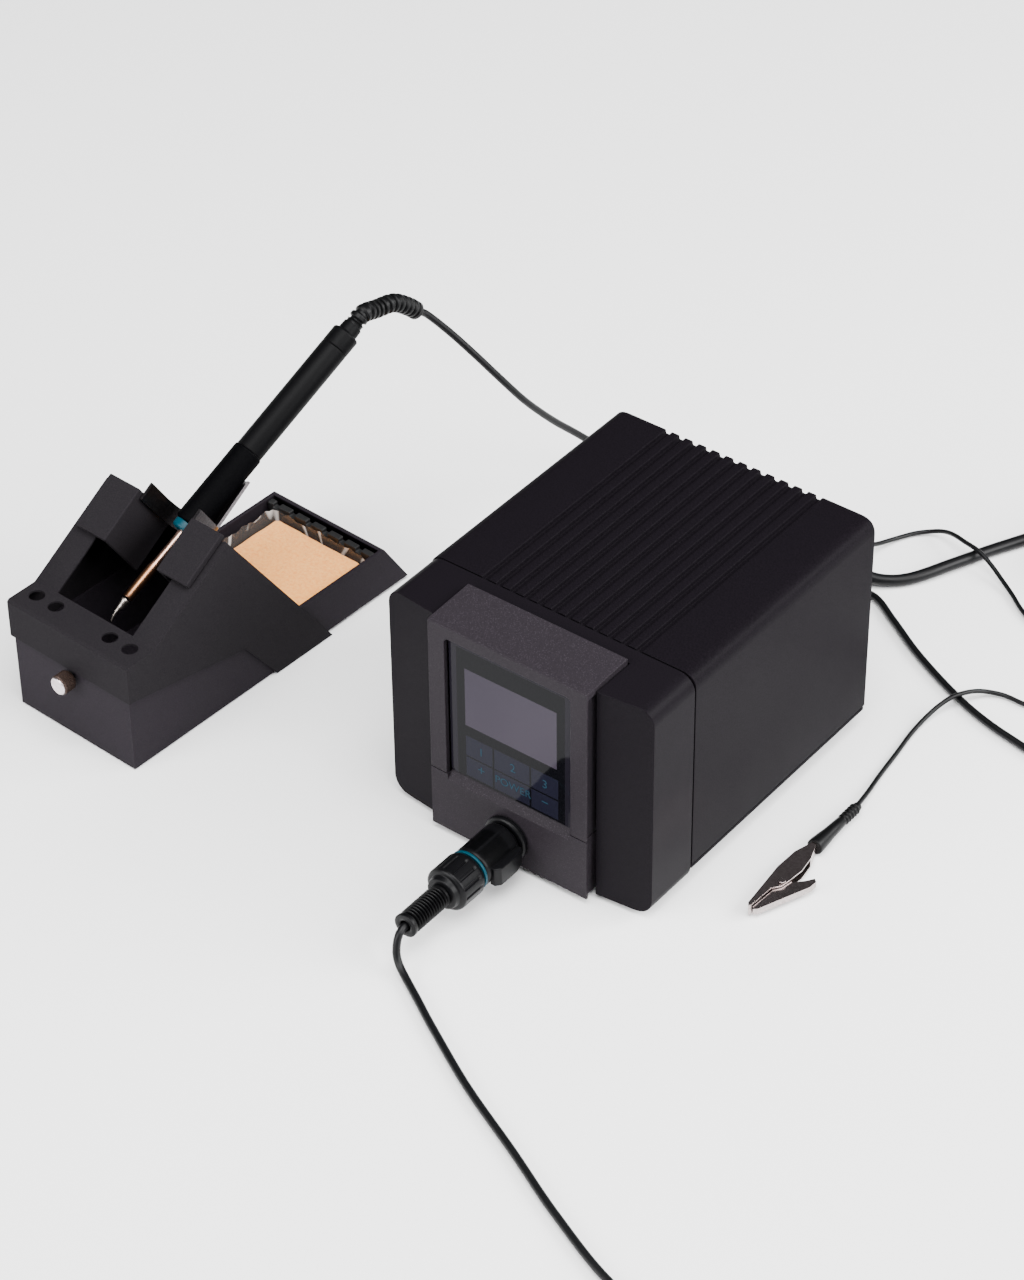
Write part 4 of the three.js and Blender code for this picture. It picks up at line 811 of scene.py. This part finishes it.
def knob_pieces():
    """Drawer knob: a turned face and a knurled rim of forty ridges."""
    at = in_holder((0, 0, 30.8))
    out = -BACK
    rim = np.stack([np.full(8, 4.1), np.linspace(2.2, 7.2, 8)], 1)
    knurl = lambda t, a: 0.2 * np.abs(np.sin(20 * a)) * (t > 2.0) * (t < 7.4)
    stem = [(0, -4.0), (1.2, -4.0), (1.2, 1.4), (3.7, 1.4), (4.0, 1.8)]
    body = np.vstack([stem, rim, [(3.95, 7.5), (3.6, 7.7), (0, 7.7)]])
    grip = turned_piece("knob_rim", body, at, out, BROWNED_KNURL, "drawer", 240, knurl)
    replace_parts(grip, "drawer_knob")
    face = eased([(0, 7.2), (3.75, 7.2), (3.8, 7.9), (3.5, 8.2), (0, 8.15)], 0.15)
    turned_piece("knob_face", face, at, out, turned_face(at, out), "drawer", 96)


def rounded_outline(low, high, radius, per_side=24):
    """Rectangle with round corners and points along its sides, anticlockwise."""
    (a0, b0), (a1, b1) = low, high
    loop = eased([(a0, b0), (a1, b0), (a1, b1), (a0, b1)], radius, 5, closed=True)
    line = np.column_stack([np.vstack([loop, loop[:1]]), np.zeros(len(loop) + 1)])
    return even(line, per_side * 4 + 1)[:-1, :2]


def ripple(a, b, seed, sizes, heights):
    """Sum of h sin(k.p + phase) over waves of the given sizes in mm, each in its own seeded direction."""
    rng = np.random.default_rng(seed)
    total = np.zeros(np.broadcast(a, b).shape)
    for size, height in zip(sizes, heights):
        turn, phase = rng.uniform(0, TAU, 2)
        total = total + height * np.sin(TAU / size * (a * np.cos(turn) + b * np.sin(turn)) + phase)
    return total


def sponge_piece():
    """Rings of the outline drawn in towards the middle, with eased rims and a low, uneven crown."""
    outline = rounded_outline((-22, 98), (28, 140), 1.6)
    middle = outline.mean(0)
    crown = [(share, 18.0) for share in np.linspace(0.95, 0.0, 22)]
    rows = np.array([(0, 3.4), (0.5, 3.4), (0.97, 3.4), (0.995, 4.0), (1, 5.5), (1, 10), (1, 16.3),
                     (0.993, 17.4), (0.975, 17.9)] + crown)
    flat = middle + rows[:, 0:1, None] * (outline - middle)[None]
    height = np.broadcast_to(rows[:, 1:2], flat.shape[:2]).copy()
    top = (rows[:, 1:2] > 17)
    height += top * ripple(flat[..., 0], flat[..., 1], 3, (31, 17, 9, 5.3), (0.10, 0.08, 0.05, 0.04))
    sides = (rows[:, 1:2] > 4) & ~top
    flat += (sides * ripple(flat[..., 0], flat[..., 1], 5, (23, 9, 4.1), (0.12, 0.08, 0.05)))[..., None]
    points = in_holder(np.concatenate([flat, height[..., None]], axis=2))
    faces = grid_faces(len(rows), len(outline), True)
    sponge = make_mesh("pressed_sponge", points.reshape(-1, 3), faces, FOAM, "tray",
        smooth_angle=60)
    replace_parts(sponge, "sponge")


def film_piece():
    """Crumpled wrap round the sponge: its outline carried up and outwards into the room beside it.

    offset = 0.5 + room up^1.3 + folds, where room is 0.9 mm plus 0.7 mm on the back and 3.4 mm on the left;
    the height goes from 8 to about 20 mm with its own folds.
    """
    outline = rounded_outline((-22.2, 97.8), (28.2, 140.2), 2.2, 90)
    outward = unit(outline - outline.mean(0))
    facing = unit(np.roll(outline, -1, axis=0) - np.roll(outline, 1, axis=0))
    facing = np.stack([facing[:, 1], -facing[:, 0]], axis=1)
    room = 0.9 + 0.7 * np.clip(facing[:, 1], 0, 1) + 3.4 * np.clip(-facing[:, 0], 0, 1)
    up = np.linspace(0, 1, 18)[:, None]
    a, b = outline[None, :, 0], outline[None, :, 1]
    folds = ripple(a + 3 * up, b - 5 * up, 11, (9.1, 5.7, 3.4, 2.2), (0.5, 0.45, 0.36, 0.2))
    offset = 0.5 + room * up ** 1.3 * 0.8 + 0.12 * room * folds * up
    height = 8 + 12.5 * up + 0.7 * up * ripple(a, b, 17, (9.7, 5.1, 2.9), (0.8, 0.5, 0.2))
    flat = outline[None] + offset[..., None] * outward[None]
    points = in_holder(np.concatenate([flat, height[..., None]], axis=2))
    faces = grid_faces(len(up), len(outline), True)
    make_mesh("sponge_film", points.reshape(-1, 3), faces, FILM, "tray", closed=False,
              smooth_angle=70)


def holder_pieces():
    """Shell, rests, cradle, drawer with its knob, tray with wiper, sponge and wrap."""
    cast_copy("holder_shell", MATT_COAT, 0.3, 2)
    cast_copy("rest_block_left", MATT_COAT, 0.55, 3)
    cast_copy("rest_block_right", MATT_COAT, 0.55, 3)
    cast_copy("rest_cradle", BLUED_STEEL, 0.25, 2)
    cast_copy("slag_drawer", VIOLET_COAT, 0.35, 2)
    cast_copy("sponge_tray", VIOLET_COAT, 0.35, 2)
    cast_copy("wiper_strip", WIPER_RUBBER, 0.3, 2)
    knob_pieces()
    sponge_piece()
    film_piece()


# ------------------------------------------------------------------ ground clip
def clip_pieces():
    """Two pressed jaws with teeth, their rivet, and the soft sleeve on the lead."""
    cast_copy("clip_fixed_jaw", NICKEL, 0.18, 2)
    cast_copy("clip_moving_jaw", NICKEL, 0.18, 2)
    cast_copy("clip_rivet", NICKEL, 0.15, 2)
    ribs = ribbed_profile(-28.5, -19.0, 5, 1.95, 2.45)
    sleeve = np.vstack([[(0, -30.4), (1.7, -30.4), (1.9, -29.6)], ribs,
                        eased([(2.2, -18.4), (2.6, -10.5), (3.4, -2.4), (3.45, -0.2), (3.0, 0.0),
                               (0, -0.6)], 0.8)])
    at, out = (90.7, 68.5, 3.6), (0, -1, 0)
    piece = turned_piece("clip_sleeve", sleeve, at, out, SOFT_PVC, "station", 48)
    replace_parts(piece, "clip_boot")
    return piece


# ------------------------------------------------------------------ making everything
housing_pieces()
plug_pieces()
iron_pieces()
holder_pieces()
sleeve = clip_pieces()

iron_line = np.vstack([spline(IRON_ROUTE, 500), [(0.0, -70.0, 15.0)]])
iron_cord = lay_cord("iron_lead", iron_line, IRON_CORD_D, ["iron_cord"], 2.4)
# The lead is taken off the station's body and its place baked into its points, so it rides on no body.
iron_cord.parent = None
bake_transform(iron_cord)
mains_line = np.vstack([
    spline(MAINS_ROUTE, 120), coil_line(MAINS_COIL, MAINS_CORD_D, MAINS_ROUTE[-1], MAINS_TAIL[0])[1:-1],
    spline(MAINS_TAIL, 60)])
lay_cord("mains_lead", mains_line, MAINS_CORD_D, ["mains_cord", "mains_coil", "mains_tail"],
         2.6)
ground_line = np.vstack([
    spline(GROUND_ROUTE, 200), coil_line(GROUND_COIL, GROUND_CORD_D, GROUND_ROUTE[-1], GROUND_TAIL[0])[1:-1],
    spline(GROUND_TAIL, 150)])
lay_cord("ground_lead", ground_line, GROUND_CORD_D, ["ground_cord", "ground_coil", "ground_tail"],
         1.3)


# ------------------------------------------------------------------ floor and light
def add_floor():
    """A wide pale table top a hair under the feet."""
    mesh = bpy.data.meshes.new("table")
    corners = [(x, y, -0.0003) for x, y in ((-6, -6), (6, -6), (6, 6), (-6, 6))]
    mesh.from_pydata(corners, [], [(0, 1, 2, 3)])
    painted = new_finish("pale_table", Roughness=0.9,
        **{"Base Color": linear("#ffffff"), "Specular IOR Level": 0.1})
    mesh.materials.append(painted[0])
    table = bpy.data.objects.new("table", mesh)
    bpy.context.scene.collection.objects.link(table)


def add_light(name, at, towards, width, height, watts, colour="#ffffff"):
    """A soft box at a place in metres, turned to face a point."""
    data = bpy.data.lights.new(name, "AREA")
    data.shape, data.size, data.size_y, data.energy = "RECTANGLE", width, height, watts
    data.color = linear(colour)[:3]
    lamp = bpy.data.objects.new(name, data)
    aim = unit(np.array(at) - np.array(towards))
    side = unit(np.cross((0, 0, 1.0) if abs(aim[2]) < 0.99 else (0, 1.0, 0), aim))
    axes = np.eye(4)
    axes[:3, 0], axes[:3, 1], axes[:3, 2], axes[:3, 3] = side, np.cross(aim, side), aim, at
    lamp.matrix_world = Matrix(axes.tolist())
    bpy.context.scene.collection.objects.link(lamp)


def add_lights():
    """Soft boxes right, front left, above, and small behind right, over an even pale surround."""
    add_light("right_box", (1.7, 0.35, 1.0), (0.05, 0, 0.05), 1.3, 1.2, 64)
    add_light("front_box", (-0.6, -1.9, 1.0), (0, 0, 0.05), 1.4, 1.0, 60)
    add_light("top_box", (0.5, -0.5, 2.2), (0, 0.05, 0), 1.8, 1.8, 118)
    add_light("rim_box", (1.25, 1.2, 1.0), (0.05, 0, 0.1), 0.5, 1.0, 34)
    world = bpy.data.worlds.new("surround")
    world.use_nodes = True
    world.node_tree.nodes["Background"].inputs["Color"].default_value = linear("#e9ecf2")
    world.node_tree.nodes["Background"].inputs["Strength"].default_value = 0.16
    bpy.context.scene.world = world


add_floor()
add_lights()
